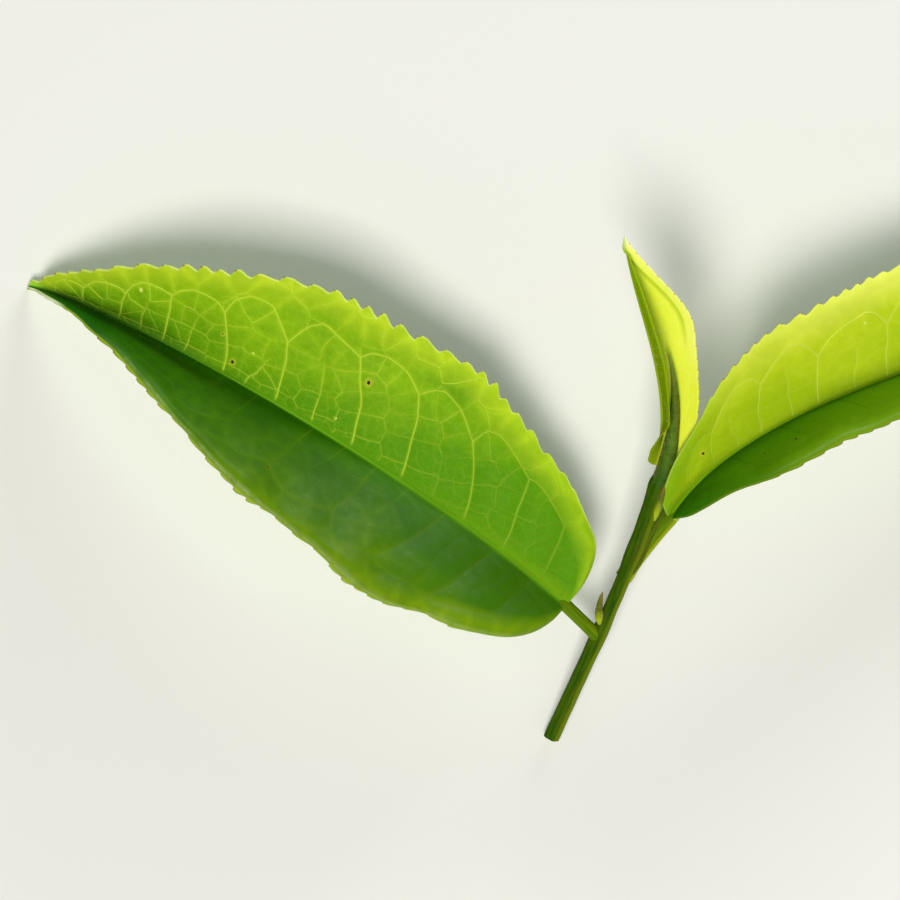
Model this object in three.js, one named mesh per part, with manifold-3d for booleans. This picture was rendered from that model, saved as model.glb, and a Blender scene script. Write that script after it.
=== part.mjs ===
// Tea shoot: two open leaves, a folded young leaf, its terminal bud and two side buds on a cut green
// stem, lying on a table. It rests on the tips of the two open leaves and on the cut end of the stem.
// Sizes are in millimetres and degrees. +X runs along the spread of the open leaves, +Y towards the
// tip of the shoot and +Z up. The origin is under the middle of the shoot, on the table.

import * as THREE from 'three';
import { mergeVertices } from 'three/addons/utils/BufferGeometryUtils.js';
import Module from 'manifold-3d';

const wasm = await Module();
wasm.setup();

// Driving sizes. Places are taken from a drafting point beside the lower leaf, at table height, and
// the whole shoot is set on its origin at the end.

const clearance = 0.3;

const stem = {
  path: [[12.3, -35.1, 0.92], [17.4, -23.4, 4.9], [22.6, -13.0, 8.6], [25.2, -2.6, 12.1]],
  cutRadius: 0.98,
  topRadius: 0.8,
  nodes: [0.385, 0.68, 0.97],
  nodeSwelling: 0.14,
  nodeReach: 0.05,
};

const lowerLeaf = {
  petiole: [[17.9, -22.6, 5.2], [16.4, -21.1, 6.8], [14.0, -18.8, 7.6]],
  midrib: [[14.0, -18.8, 7.6], [-4.0, -2.6, 10.5], [-37.7, 16.1, 8.0], [-51.5, 19.9, 0.34]],
  halfWidth: 16.8,
  widest: 0.51,
  baseRound: 0.38,
  tipBulge: 1.36,
  tipTaper: 1.02,
  tiltRight: [8, 52],
  tiltLeft: [34, 80],
  tiltFrom: 0.15,
  tiltTo: 0.95,
  opening: 3.2,
  thickness: 0.8,
  crown: 0.5,
  teeth: 30,
  toothHeight: 0.32,
  ribRadius: [0.8, 0.32],
};

const upperLeaf = {
  petiole: [[20.9, -15.4, 7.3], [24.6, -11.7, 8.7], [26.4, -8.3, 9.8]],
  midrib: [[26.4, -8.3, 9.8], [34.1, 4.8, 13.5], [59.6, 11.3, 10.0], [89.7, 19.3, 0.37]],
  halfWidth: 14.1,
  widest: 0.58,
  baseRound: 1.0,
  tipBulge: 1.8,
  tipTaper: 0.8,
  tiltRight: [62, 80],
  tiltLeft: [48, 22],
  tiltFrom: 0,
  tiltTo: 0.95,
  opening: 3.2,
  thickness: 0.8,
  crown: 0.4,
  teeth: 30,
  toothHeight: 0.3,
  ribRadius: [0.75, 0.32],
};

const youngLeaf = {
  petiole: [[24.7, -4.2, 11.3], [24.9, -3.1, 11.9], [25.1, -1.9, 12.6]],
  midrib: [[25.1, -1.9, 12.6], [26.6, 9.1, 16.0], [21.5, 16.4, 19.0], [20.3, 25.3, 20.0]],
  halfWidth: 5.6,
  widest: 0.56,
  baseRound: 0.38,
  tipBulge: 1.64,
  tipTaper: 1.28,
  tiltRight: [0, 24],
  tiltLeft: [45, 99],
  tiltFrom: 0,
  tiltTo: 0.28,
  opening: 2.0,
  thickness: 0.5,
  crown: 0.15,
  teeth: 16,
  toothHeight: 0.12,
  ribRadius: [0.42, 0.2],
};

const buds = {
  terminal_bud: { path: [[25.8, -2.9, 12.6], [27.6, 5.2, 16.6], [25.5, 12.1, 19.8]], radius: 0.6 },
  axillary_bud_upper: { path: [[24.1, -8.7, 10.6], [24.9, -6.5, 12.1], [25.9, -3.8, 13.3]], radius: 0.42 },
  axillary_bud_lower: { path: [[18.1, -21.1, 6.6], [17.7, -19.1, 7.9], [18.4, -17.0, 9.0]], radius: 0.48 },
};

// Shares of a blade's length, from its base at 0 to its tip at 1
const toothStart = 0.1;
const toothEnd = 0.97;
const ribEnd = 0.985;

const edgeHalfWidth = 0.3;   // at the very base and tip of a blade
const toothPeak = 0.75;      // how far along a tooth its point stands
const acrossSteps = 4;       // strips from the midrib to each margin
const stripBias = 0.2;       // how much wider the strips are beside the midrib
const ribSink = 0.4;         // how far a rib sits under the blade, in its own radii

const spear = { widest: 0.25, footReach: 0.3, tipReach: 0.76, hollow: 1.5, taper: 1.1 };

const facets = {
  stem: { sides: 14, steps: 36 },
  rib: { sides: 8, steps: 16 },
  petiole: { sides: 10, steps: 6 },
  bud: { sides: 10, steps: 16 },
};

const greens = {
  stem: { color: '#3f6b16', roughness: 0.5 },
  openLeaf: { color: '#5f9a1c', roughness: 0.42 },
  youngLeaf: { color: '#a9c43c', roughness: 0.48 },
  bud: { color: '#7f9a3a', roughness: 0.6 },
};

// Rules that all pieces share

const worldUp = new THREE.Vector3(0, 0, 1);

function curveThrough(points) {
  const places = points.map((point) => new THREE.Vector3(...point));
  return places.length === 3
    ? new THREE.QuadraticBezierCurve3(...places)
    : new THREE.CubicBezierCurve3(...places);
}

// The cross-section frame of a curve: its centre, and the directions to its right and upwards.
function sectionAt(curve, share) {
  const centre = curve.getPoint(share);
  const along = curve.getTangent(THREE.MathUtils.clamp(share, 0, 1));
  const right = new THREE.Vector3().crossVectors(along, worldUp).normalize();
  const up = new THREE.Vector3().crossVectors(right, along);
  return { centre, right, up };
}

function settled(from, to, share) {
  return THREE.MathUtils.smoothstep(share, from, to);
}

function solidOf(geometry) {
  geometry.deleteAttribute('normal');
  geometry.deleteAttribute('uv');
  const merged = mergeVertices(geometry, 1e-5);
  return new wasm.Manifold(new wasm.Mesh({
    numProp: 3,
    vertProperties: new Float32Array(merged.attributes.position.array),
    triVerts: new Uint32Array(merged.index.array),
  }));
}

function meshOf(name, solid, finish) {
  const { vertProperties, triVerts } = solid.getMesh();
  const geometry = new THREE.BufferGeometry();
  geometry.setAttribute('position', new THREE.BufferAttribute(new Float32Array(vertProperties), 3));
  geometry.setIndex(new THREE.BufferAttribute(new Uint32Array(triVerts), 1));
  geometry.computeVertexNormals();
  const mesh = new THREE.Mesh(geometry, new THREE.MeshStandardMaterial({ ...finish, metalness: 0 }));
  mesh.name = name;
  return mesh;
}

// A round limb along a curve. Its radius and how far it sinks under the curve follow its length.
function limb(curve, radiusAt, { sides, steps, from = 0, to = 1, sink = 0 }) {
  const geometry = new THREE.CylinderGeometry(1, 1, 1, sides, steps);
  const places = geometry.attributes.position;
  const spot = new THREE.Vector3();
  for (let i = 0; i < places.count; i += 1) {
    spot.fromBufferAttribute(places, i);
    const share = from + (to - from) * (spot.y + 0.5);
    const { centre, right, up } = sectionAt(curve, share);
    const radius = radiusAt(share);
    centre.addScaledVector(right, spot.x * radius);
    centre.addScaledVector(up, spot.z * radius - sink * radius);
    places.setXYZ(i, centre.x, centre.y, centre.z);
  }
  return solidOf(geometry);
}

// Stem

function stemRadius(share) {
  const plain = THREE.MathUtils.lerp(stem.cutRadius, stem.topRadius, share);
  const swelling = stem.nodes.reduce((sum, node) => {
    const away = (share - node) / stem.nodeReach;
    return sum + stem.nodeSwelling * Math.exp(-away * away);
  }, 0);
  return plain * (1 + swelling);
}

function stemLimb(extra) {
  const curve = curveThrough(stem.path);
  const overrun = extra / curve.getLength();
  return limb(curve, (share) => stemRadius(share) + extra, {
    ...facets.stem, from: -overrun, to: 1 + overrun,
  });
}

// Leaves

function halfWidthAt(leaf, share) {
  const { widest } = leaf;
  const low = Math.max(0, (widest - share) / widest);
  const high = Math.max(0, (share - widest) / (1 - widest));
  const fullness = share < widest
    ? (1 - low ** 2) ** leaf.baseRound
    : (1 - high ** leaf.tipBulge) ** leaf.tipTaper;
  return Math.max(edgeHalfWidth, leaf.halfWidth * fullness);
}

// The direction from the midrib towards one margin, and the blade's normal on that side.
function slopeAt(leaf, section, side, share) {
  const tilts = side > 0 ? leaf.tiltRight : leaf.tiltLeft;
  const settledShare = settled(leaf.tiltFrom, leaf.tiltTo, share);
  const openShare = Math.min(1, halfWidthAt(leaf, share) / leaf.opening);
  const tilt = THREE.MathUtils.degToRad(THREE.MathUtils.lerp(tilts[0], tilts[1], settledShare) * openShare);
  const outward = section.right.clone().multiplyScalar(side * Math.cos(tilt))
    .addScaledVector(section.up, Math.sin(tilt));
  const normal = section.up.clone().multiplyScalar(Math.cos(tilt))
    .addScaledVector(section.right, -side * Math.sin(tilt));
  return { outward, normal };
}

function bladePoint(leaf, curve, across, step, depth) {
  const tooth = Math.floor(step / 2);
  const onPeak = step % 2 === 1;
  const share = (tooth + (onPeak ? toothPeak : 0)) / leaf.teeth;
  const section = sectionAt(curve, share);
  const reach = Math.abs(across) * (1 + stripBias - stripBias * Math.abs(across));
  const atMargin = Math.abs(across) === 1;
  const toothed = atMargin && onPeak && share > toothStart && share < toothEnd;
  const halfWidth = halfWidthAt(leaf, share);
  const width = halfWidth * reach + (toothed ? leaf.toothHeight : 0);
  const right = slopeAt(leaf, section, 1, share);
  const left = slopeAt(leaf, section, -1, share);
  const side = across >= 0 ? right : left;
  const normal = across === 0 ? right.normal.clone().add(left.normal).normalize() : side.normal;
  const crown = leaf.crown * Math.sin(Math.PI * reach) * (halfWidth / leaf.halfWidth);
  return section.centre
    .addScaledVector(side.outward, width)
    .addScaledVector(normal, crown + depth * leaf.thickness);
}

function blade(leaf) {
  const curve = curveThrough(leaf.midrib);
  const steps = 2 * leaf.teeth;
  const geometry = new THREE.BoxGeometry(2, 1, 1, 2 * acrossSteps, steps, 1);
  const places = geometry.attributes.position;
  for (let i = 0; i < places.count; i += 1) {
    const step = Math.round((places.getY(i) + 0.5) * steps);
    const across = Math.round(places.getX(i) * acrossSteps) / acrossSteps;
    const point = bladePoint(leaf, curve, across, step, places.getZ(i));
    places.setXYZ(i, point.x, point.y, point.z);
  }
  return solidOf(geometry);
}

function petioleLimb(leaf, extra) {
  return limb(curveThrough(leaf.petiole), () => leaf.ribRadius[0] + extra, {
    ...facets.petiole, sink: ribSink,
  });
}

function leafSolid(leaf) {
  const ribRadiusAt = (share) => THREE.MathUtils.lerp(leaf.ribRadius[0], leaf.ribRadius[1], share);
  const rib = limb(curveThrough(leaf.midrib), ribRadiusAt, { ...facets.rib, to: ribEnd, sink: ribSink });
  return blade(leaf).add(rib).add(petioleLimb(leaf, 0));
}

// Buds: narrow spears, round at the foot and drawn out to a point

function spearRadius(share) {
  const below = (spear.widest - share) / spear.footReach;
  const above = (share - spear.widest) / spear.tipReach;
  return share < spear.widest ? Math.sqrt(1 - below ** 2) : (1 - above ** spear.hollow) ** spear.taper;
}

function budLimb(bud, extra) {
  return limb(curveThrough(bud.path), (share) => bud.radius * spearRadius(share) + extra, facets.bud);
}

// Assembly

const stemRoom = stemLimb(clearance);
const budSolids = Object.fromEntries(
  Object.entries(buds).map(([name, bud]) => [name, budLimb(bud, 0).subtract(stemRoom)]),
);
const upperPetioleRoom = petioleLimb(upperLeaf, clearance);
const lowerPetioleRoom = petioleLimb(lowerLeaf, clearance);
budSolids.axillary_bud_upper = budSolids.axillary_bud_upper.subtract(upperPetioleRoom);
budSolids.axillary_bud_lower = budSolids.axillary_bud_lower.subtract(lowerPetioleRoom);
const terminalBudRoom = budLimb(buds.terminal_bud, clearance);
const leafSolids = {
  leaf_lower: leafSolid(lowerLeaf).subtract(stemRoom),
  leaf_upper: leafSolid(upperLeaf).subtract(stemRoom),
  young_leaf: leafSolid(youngLeaf).subtract(stemRoom).subtract(terminalBudRoom),
};

const shoot = new THREE.Group();
shoot.add(meshOf('stem', stemLimb(0), greens.stem));
shoot.add(meshOf('leaf_lower', leafSolids.leaf_lower, greens.openLeaf));
shoot.add(meshOf('leaf_upper', leafSolids.leaf_upper, greens.openLeaf));
shoot.add(meshOf('young_leaf', leafSolids.young_leaf, greens.youngLeaf));
Object.entries(budSolids).forEach(([name, solid]) => shoot.add(meshOf(name, solid, greens.bud)));

// The shoot is set down: its lowest point on the table and the origin under the middle of its box.
const box = new THREE.Box3().setFromObject(shoot);
const middle = box.getCenter(new THREE.Vector3());
shoot.position.set(-middle.x, -middle.y, -box.min.z);
shoot.updateMatrixWorld(true);

export default shoot;
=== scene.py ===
# Tea shoot: two open leaves, a young leaf folded round its bud and two side buds on a cut green stem.
# It lies on a pale floor and the camera looks straight down on it. The shape rules work in
# millimetres from the drafting point of the solids, and each mesh is then set on the frame.

import math

import bpy
import numpy as np
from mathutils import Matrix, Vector
from mathutils.geometry import delaunay_2d_cdt


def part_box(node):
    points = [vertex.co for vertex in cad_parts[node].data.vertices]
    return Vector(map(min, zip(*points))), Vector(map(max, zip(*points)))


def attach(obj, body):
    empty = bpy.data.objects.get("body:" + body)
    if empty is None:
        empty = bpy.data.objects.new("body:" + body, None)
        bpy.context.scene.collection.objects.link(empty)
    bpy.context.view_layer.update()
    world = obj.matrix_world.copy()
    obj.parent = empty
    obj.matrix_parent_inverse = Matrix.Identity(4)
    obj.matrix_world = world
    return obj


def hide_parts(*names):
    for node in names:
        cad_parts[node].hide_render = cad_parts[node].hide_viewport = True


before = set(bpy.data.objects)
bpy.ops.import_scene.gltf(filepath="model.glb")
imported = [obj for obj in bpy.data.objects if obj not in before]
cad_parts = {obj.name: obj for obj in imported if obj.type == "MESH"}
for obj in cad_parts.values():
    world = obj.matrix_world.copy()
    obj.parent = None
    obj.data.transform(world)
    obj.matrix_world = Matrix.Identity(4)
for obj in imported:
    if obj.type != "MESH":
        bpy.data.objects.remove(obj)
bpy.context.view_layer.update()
scene = bpy.context.scene
print("frame loaded, nodes:", len(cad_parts))

millimetre = 0.001
worldUp = np.array([0.0, 0.0, 1.0])


# Rules that all pieces share

def lerp(low, high, share):
    return low + (high - low) * share


def smooth(share, low=0.0, high=1.0):
    share = np.clip((share - low) / (high - low), 0, 1)
    return share * share * (3 - 2 * share)


def bump(place, centre, spread):
    return np.exp(-(((place - centre) / spread) ** 2))


def bezier(points, share):
    points = np.array(points, float)
    degree = len(points) - 1
    share = np.asarray(share, float)[:, None]
    return sum(
        math.comb(degree, k) * (1 - share) ** (degree - k) * share**k * points[k]
        for k in range(degree + 1)
    )


def unit(vectors):
    return vectors / np.linalg.norm(vectors, axis=1, keepdims=True)


def sectionAt(path, share):
    # centre of a curve, its direction, and the directions to its right and upwards
    along = unit(bezier(np.diff(np.array(path, float), axis=0), np.clip(share, 0, 1)))
    right = unit(np.cross(along, worldUp))
    return bezier(path, share), along, right, np.cross(right, along)


def limbPoints(path, share, angle, radius):
    centre, along, right, up = sectionAt(path, share)
    return centre + (radius * np.sin(angle))[:, None] * right + (radius * np.cos(angle))[:, None] * up


# The stem's rule comes first, because the solid stem gives the shoot its place on the frame

stem = {
    "path": [[12.3, -35.1, 0.92], [17.4, -23.4, 4.9], [22.6, -13.0, 8.6], [25.2, -2.6, 12.1]],
    "cutRadius": 0.98,
    "topRadius": 0.8,
    "nodes": [0.385, 0.68, 0.97],
    "nodeSwelling": 0.14,
    "nodeReach": 0.05,
    "length": 36.0,
    "solidSides": 14,
    "solidSteps": 36,
    "sides": 72,
    "steps": 340,
    "ribs": 5,
    "ribHeight": 0.025,
    "unevenness": 0.02,
    "unevenRates": [23, 41],
    "cutBevel": 0.07,
    "bevelDepth": 0.08,
    "bevelRings": [0.0008, 0.002],
    "cutEnd": 0.0001,
    "dome": 2.2,
    "fuller": [0.22, 0.55, 0.85],   # how much thicker the stem gets, and between which shares of it
}


def stemRadius(share):
    plain = lerp(stem["cutRadius"], stem["topRadius"], share)
    swelling = sum(bump(share, node, stem["nodeReach"]) for node in stem["nodes"])
    return plain * (1 + stem["nodeSwelling"] * swelling)


def shootPlace():
    # how far the drafting point lies from the frame's origin, read from the solid stem
    share = np.repeat(np.linspace(0, 1, stem["solidSteps"] + 1), stem["solidSides"])
    turn = np.arange(stem["solidSides"]) * 2 * math.pi / stem["solidSides"]
    angle = np.tile(turn, stem["solidSteps"] + 1)
    rule = limbPoints(stem["path"], share, angle, stemRadius(share))
    return np.array(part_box("stem")[0]) / millimetre - rule.min(axis=0)


place = shootPlace()


# Meshes and materials

def colour(red, green, blue):
    # a colour as seen in a picture, from 0 to 255, for a shader
    seen = np.array([red, green, blue]) / 255
    plain = np.where(seen <= 0.04045, seen / 12.92, ((seen + 0.055) / 1.055) ** 2.4)
    return (*[float(value) for value in plain], 1.0)


def shaderTint(tint):
    # a look's colours are given as seen in a picture; one with a fourth number is a factor and stays
    return colour(*tint) if isinstance(tint, tuple) and len(tint) == 3 else tint


def addObject(name, data):
    made = bpy.data.objects.new(name, data)
    scene.collection.objects.link(made)
    return made


def store(mesh, key, values):
    # a number or a vector for each point of the mesh
    values = np.asarray(values, np.float32)
    isVector = values.ndim == 2
    layer = mesh.attributes.new(key, "FLOAT_VECTOR" if isVector else "FLOAT", "POINT")
    layer.data.foreach_set("vector" if isVector else "value", values.ravel())


def newMesh(name, points, edges, faces, fields):
    mesh = bpy.data.meshes.new(name)
    mesh.from_pydata(((points + place) * millimetre).tolist(), edges, faces)
    for key, values in fields.items():
        store(mesh, key, values)
    return mesh


def makeMesh(name, points, faces, materials, fields, slots=None):
    mesh = newMesh(name, points, [], faces, fields)
    for material in materials:
        mesh.materials.append(material)
    if slots is not None:
        mesh.polygons.foreach_set("material_index", np.asarray(slots, np.int32))
    mesh.polygons.foreach_set("use_smooth", [True] * len(mesh.polygons))
    mesh.validate()
    return addObject(name, mesh)


def dress(piece, slot, *nodes):
    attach(piece, "root")
    if nodes:
        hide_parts(*nodes)
    print(piece.name, "faces:", len(piece.data.polygons))


def addNode(tree, kind, inputs=None, **settings):
    node = tree.nodes.new(kind)
    for key, value in settings.items():
        setattr(node, key, value)
    for key, value in (inputs or {}).items():
        if isinstance(value, bpy.types.NodeSocket):
            tree.links.new(value, node.inputs[key])
        else:
            node.inputs[key].default_value = value
    return node


def newMaterial(name, **sockets):
    material = bpy.data.materials.new(name)
    material.use_nodes = True
    tree = material.node_tree
    shader = tree.nodes["Principled BSDF"]
    for key, value in sockets.items():
        shader.inputs[key.replace("_", " ")].default_value = value
    return material, tree, shader


def field(tree, name, output="Fac"):
    return addNode(tree, "ShaderNodeAttribute", attribute_name=name).outputs[output]


def ranged(tree, value, low, high, toLow=0.0, toHigh=1.0):
    numbers = {0: value, 1: low, 2: high, 3: toLow, 4: toHigh}
    return addNode(tree, "ShaderNodeMapRange", numbers).outputs[0]


def chained(tree, operation, first, others):
    for other in others:
        first = addNode(tree, "ShaderNodeMath", {0: first, 1: other}, operation=operation).outputs[0]
    return first


def product(tree, first, *others):
    return chained(tree, "MULTIPLY", first, others)


def total(tree, first, *others):
    return chained(tree, "ADD", first, others)


def mixed(tree, share, first, second, blend="MIX"):
    colours = {0: share, 6: shaderTint(first), 7: shaderTint(second)}
    return addNode(tree, "ShaderNodeMix", colours, data_type="RGBA", blend_type=blend).outputs[2]


def noise(tree, where, scale, detail=2.0, roughness=0.5):
    numbers = {"Vector": where, "Scale": scale, "Detail": detail, "Roughness": roughness}
    return addNode(tree, "ShaderNodeTexNoise", numbers).outputs["Fac"]


def addBump(tree, shader, height, distance):
    relief = addNode(tree, "ShaderNodeBump", {"Height": height, "Distance": distance})
    tree.links.new(relief.outputs["Normal"], shader.inputs["Normal"])


def objectPlace(tree):
    return addNode(tree, "ShaderNodeTexCoord").outputs["Object"]


# Camera, lights and floor

stage = {
    "picturePoint": [0.0, 0.0, 8.0],   # drafting point in the middle of the picture
    "cameraDistance": 602.4,
    "lens": 200,
    "sensor": 36,
    "clipEnd": 20,
    "floorRoughness": 0.85,
    "floorSize": 3.0,
    "floor": colour(226, 226, 221),
    "surround": colour(236, 240, 246),
    "surroundStrength": 0.3,
}

lamps = {
    "keyLight": {
        "from": [-0.09, -0.30, 0.76], "size": [0.34, 0.34], "power": 5.9, "warmth": (1.0, 0.97, 0.91),
    },
    "rimLight": {
        "from": [0.30, 0.60, 0.20], "size": [0.36, 0.12], "power": 2.8, "warmth": (0.93, 1.0, 0.95),
    },
}


def buildStage():
    camera = addObject("camera", bpy.data.cameras.new("camera"))
    camera.data.lens = stage["lens"]
    camera.data.sensor_width = stage["sensor"]
    camera.data.clip_end = stage["clipEnd"]
    point = (np.array(stage["picturePoint"]) + place) * millimetre
    camera.location = point + worldUp * stage["cameraDistance"] * millimetre
    scene.camera = camera

    for name, lamp in lamps.items():
        data = bpy.data.lights.new(name, "AREA")
        data.shape = "RECTANGLE"
        data.size, data.size_y = lamp["size"]
        data.energy = lamp["power"]
        data.color = lamp["warmth"]
        light = addObject(name, data)
        light.location = lamp["from"]
        light.rotation_euler = Vector(lamp["from"]).to_track_quat("Z", "Y").to_euler()

    world = bpy.data.worlds.new("surround")
    world.use_nodes = True
    background = world.node_tree.nodes["Background"]
    background.inputs["Color"].default_value = stage["surround"]
    background.inputs["Strength"].default_value = stage["surroundStrength"]
    scene.world = world
    scene.view_settings.view_transform = "Standard"

    half = stage["floorSize"] / 2
    corners = [(-half, -half, 0), (half, -half, 0), (half, half, 0), (-half, half, 0)]
    mesh = bpy.data.meshes.new("floor")
    mesh.from_pydata(corners, [], [(0, 1, 2, 3)])
    pale = newMaterial("paleFloor", Base_Color=stage["floor"], Roughness=stage["floorRoughness"])[0]
    mesh.materials.append(pale)
    floor = addObject("floor", mesh)


buildStage()
print("camera, lights and floor ready")


# Open leaves and young leaf: shape

plainLeaf = {
    "slot": "open_leaf",
    "tiltTo": 0.95,
    "opening": 0.8,
    "thickness": 0.3,
    "crease": 0.4,
    "alongSteps": 470,
    "backColumns": 20,
    "toothRight": 1.0,
    "toothLeft": 1.0,
    "veinSink": 0.07,
    "liesOnTip": True,
    "drop": 0.0,             # how far the tip is lowered until it lies on the floor
}

lowerLeaf = {
    **plainLeaf,
    "node": "leaf_lower",
    "name": "leafLower",
    "petiole": [[17.9, -22.6, 5.2], [16.4, -21.1, 6.8], [14.0, -18.8, 7.6]],
    "midrib": [[14.0, -18.8, 7.6], [-4.0, -2.6, 10.5], [-37.7, 16.1, 8.0], [-51.5, 19.9, 0.34]],
    "halfWidth": 16.8,
    "widest": 0.51,
    "baseRound": 0.38,
    "tipBulge": 1.36,
    "tipTaper": 1.02,
    "tiltRight": [8, 52],
    "tiltLeft": [34, 83],
    "tiltFrom": 0.15,
    "crown": 0.5,
    "ribRadius": [0.8, 0.32],
    "teeth": [35, 35],       # on the right half and on the left one
    "teethFrom": [0.07, 0.16],
    "toothHeight": 0.72,
    "swellRight": [
        [2, 2, 0.7], [14, 3.0, -0.4], [25, 4.0, 0.8], [34, 3.0, -0.3], [52, 10, -0.2], [59, 6, 0.25],
        [74, 2.5, 0.4], [35, 30, -0.35],
    ],
    "swellLeft": [[20, 5.0, 1.3], [54, 4.0, 0.3], [68, 3.6, -0.8]],
    "curlRight": {"wide": 1.0, "angle": -14, "extra": -10, "centre": 0.2, "spread": 0.1},
    "curlLeft": {"wide": 1.5, "angle": -80, "extra": 60, "centre": 0.88, "spread": 0.2},
    "litSide": 1,
    "ripple": [[0.42, 17.0, 3.0], [0.2, 7.3, 1.0]],
    "veinsRight": [
        [0.06, 0.085, 0.7], [0.133, 0.164, 0.72], [0.202, 0.255, 0.6], [0.308, 0.348, 0.64],
        [0.389, 0.437, 0.68], [0.512, 0.530, 0.52], [0.597, 0.624, 0.62], [0.703, 0.704, 0.67],
        [0.786, 0.777, 0.58], [0.862, 0.855, 0.6], [0.925, 0.92, 0.6],
    ],
    "weakRight": [[0.453, 0.474, 0.5], [0.563, 0.542, 0.34], [0.665, 0.658, 0.46], [0.745, 0.74, 0.4]],
    "veinsLeft": [
        [0.07, 0.095, 0.75], [0.141, 0.185, 0.8], [0.229, 0.281, 0.73], [0.343, 0.361, 0.61],
        [0.446, 0.465, 0.65], [0.537, 0.543, 0.55], [0.638, 0.64, 0.7], [0.735, 0.735, 0.65],
        [0.82, 0.82, 0.65], [0.895, 0.89, 0.65],
    ],
    "weakLeft": [[0.29, 0.31, 0.42], [0.395, 0.415, 0.4], [0.59, 0.6, 0.4]],
    "cellSize": 3.2,
    "seed": 4,
    "columnsRight": 100,
    "columnsLeft": 64,
    "toothLeft": 0.38,
    "tipBlunt": 1.5,
    "veinWidth": 0.78,
    "relief": [0.8, 0.3],    # of the veins, on the lit half and on the shaded one
    "glandReach": 0.17,
    "glandsTo": [0.985, 0.8],
}

upperLeaf = {
    **plainLeaf,
    "node": "leaf_upper",
    "name": "leafUpper",
    "petiole": [[20.9, -15.4, 7.3], [23.7, -11.3, 8.7], [26.4, -8.3, 9.8]],
    "midrib": [[26.4, -8.3, 9.8], [34.1, 4.8, 13.5], [59.6, 11.3, 10.0], [89.7, 19.3, 0.37]],
    "halfWidth": 14.1,
    "widest": 0.58,
    "baseRound": 0.76,
    "tipBulge": 1.8,
    "tipTaper": 0.8,
    "tiltRight": [66, 81],
    "tiltLeft": [48, 22],
    "tiltFrom": 0,
    "crown": 0.4,
    "ribRadius": [0.9, 0.32],
    "teeth": [30, 40],
    "teethFrom": [0.16, 0.34],
    "toothHeight": 0.42,
    "swellRight": [[8, 5, -1.0], [15, 4.0, 0.6], [32, 4.0, 0.6]],
    "swellLeft": [[1.2, 1.5, 0.5], [8, 4.5, -1.1], [19.6, 4.0, 0.7], [42, 5.0, 0.4], [40, 30, -0.2]],
    "curlRight": {"wide": 2.0, "angle": -38, "extra": -14, "centre": 0.3, "spread": 0.2},
    "curlLeft": {"wide": 1.0, "angle": -16, "extra": 0, "centre": 0.5, "spread": 0.1},
    "litSide": -1,
    "ripple": [[0.35, 15.0, 6.0], [0.18, 6.7, 2.0]],
    "veinsLeft": [
        [0.09, 0.13, 0.62], [0.175, 0.21, 0.66], [0.293, 0.33, 0.62], [0.415, 0.437, 0.56],
        [0.543, 0.558, 0.55], [0.66, 0.668, 0.6], [0.77, 0.772, 0.62], [0.87, 0.868, 0.62],
        [0.93, 0.926, 0.6],
    ],
    "weakLeft": [[0.24, 0.252, 0.6], [0.363, 0.379, 0.56], [0.485, 0.503, 0.44], [0.605, 0.615, 0.42]],
    "veinsRight": [
        [0.1, 0.14, 0.64], [0.21, 0.245, 0.66], [0.33, 0.36, 0.62], [0.45, 0.47, 0.6],
        [0.56, 0.572, 0.6], [0.67, 0.676, 0.6], [0.775, 0.775, 0.62], [0.87, 0.868, 0.62],
        [0.935, 0.93, 0.6],
    ],
    "weakRight": [[0.275, 0.295, 0.4], [0.51, 0.52, 0.4], [0.725, 0.728, 0.4]],
    "cellSize": 3.1,
    "seed": 9,
    "columnsRight": 64,
    "columnsLeft": 100,
    "toothRight": 0.45,
    "tipBlunt": 0.9,
    "veinWidth": 0.62,
    "relief": [0.3, 0.3],
    "glandReach": 0.15,
    "glandsTo": [0.985, 0.985],
}

youngVeins = [[0.14 + 0.1 * k, 0.19 + 0.098 * k, 0.6] for k in range(8)]

youngLeaf = {
    **plainLeaf,
    "node": "young_leaf",
    "name": "youngLeaf",
    "slot": "young_leaf",
    "petiole": [[24.7, -4.2, 11.3], [24.9, -3.1, 11.9], [25.1, -1.9, 12.6]],
    "midrib": [[25.1, -1.9, 12.6], [26.8, 9.1, 16.0], [21.8, 16.4, 19.0], [20.6, 25.3, 20.0]],
    "halfWidth": 5.6,
    "widest": 0.56,
    "baseRound": 0.38,
    "tipBulge": 1.64,
    "tipTaper": 1.28,
    "tiltRight": [0, 24],
    "tiltLeft": [10, 95],
    "tiltFrom": -0.03,
    "tiltTo": 0.2,
    "opening": 1.2,
    "crown": 0.15,
    "ribRadius": [0.42, 0.2],
    "thickness": 0.26,
    "crease": 0.25,
    "teeth": [22, 22],
    "teethFrom": [0.07, 0.16],
    "toothHeight": 0.1,
    "swellRight": [[10, 5, -0.25], [19, 4, 0.45]],
    "swellLeft": [[1.2, 1.0, -0.7], [3.6, 2.2, -1.7]],
    "curlRight": {"wide": 1.3, "angle": 15, "extra": 20, "centre": 0.7, "spread": 0.24},
    "curlLeft": {"wide": 1.0, "angle": 10, "extra": 0, "centre": 0.5, "spread": 0.2},
    "litSide": 1,
    "ripple": [[0.06, 9.0, 3.0]],
    "veinsRight": youngVeins,
    "veinsLeft": youngVeins,
    "weakRight": [],
    "weakLeft": [],
    "cellSize": 1.6,
    "seed": 12,
    "alongSteps": 300,
    "columnsRight": 70,
    "columnsLeft": 60,
    "backColumns": 36,
    "tipBlunt": 0.1,
    "veinWidth": 0.6,
    "relief": [0.5, 0.5],
    "veinSink": 0.03,
    "glandReach": 0.1,
    "glandsTo": [0.985, 0.3],
    "liesOnTip": False,
}

# A strong side vein is given by the share of the midrib where it starts, and by the share of the midrib
# and of the half width where it forks. Arches join the forks. A weak one ends before them.

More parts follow.
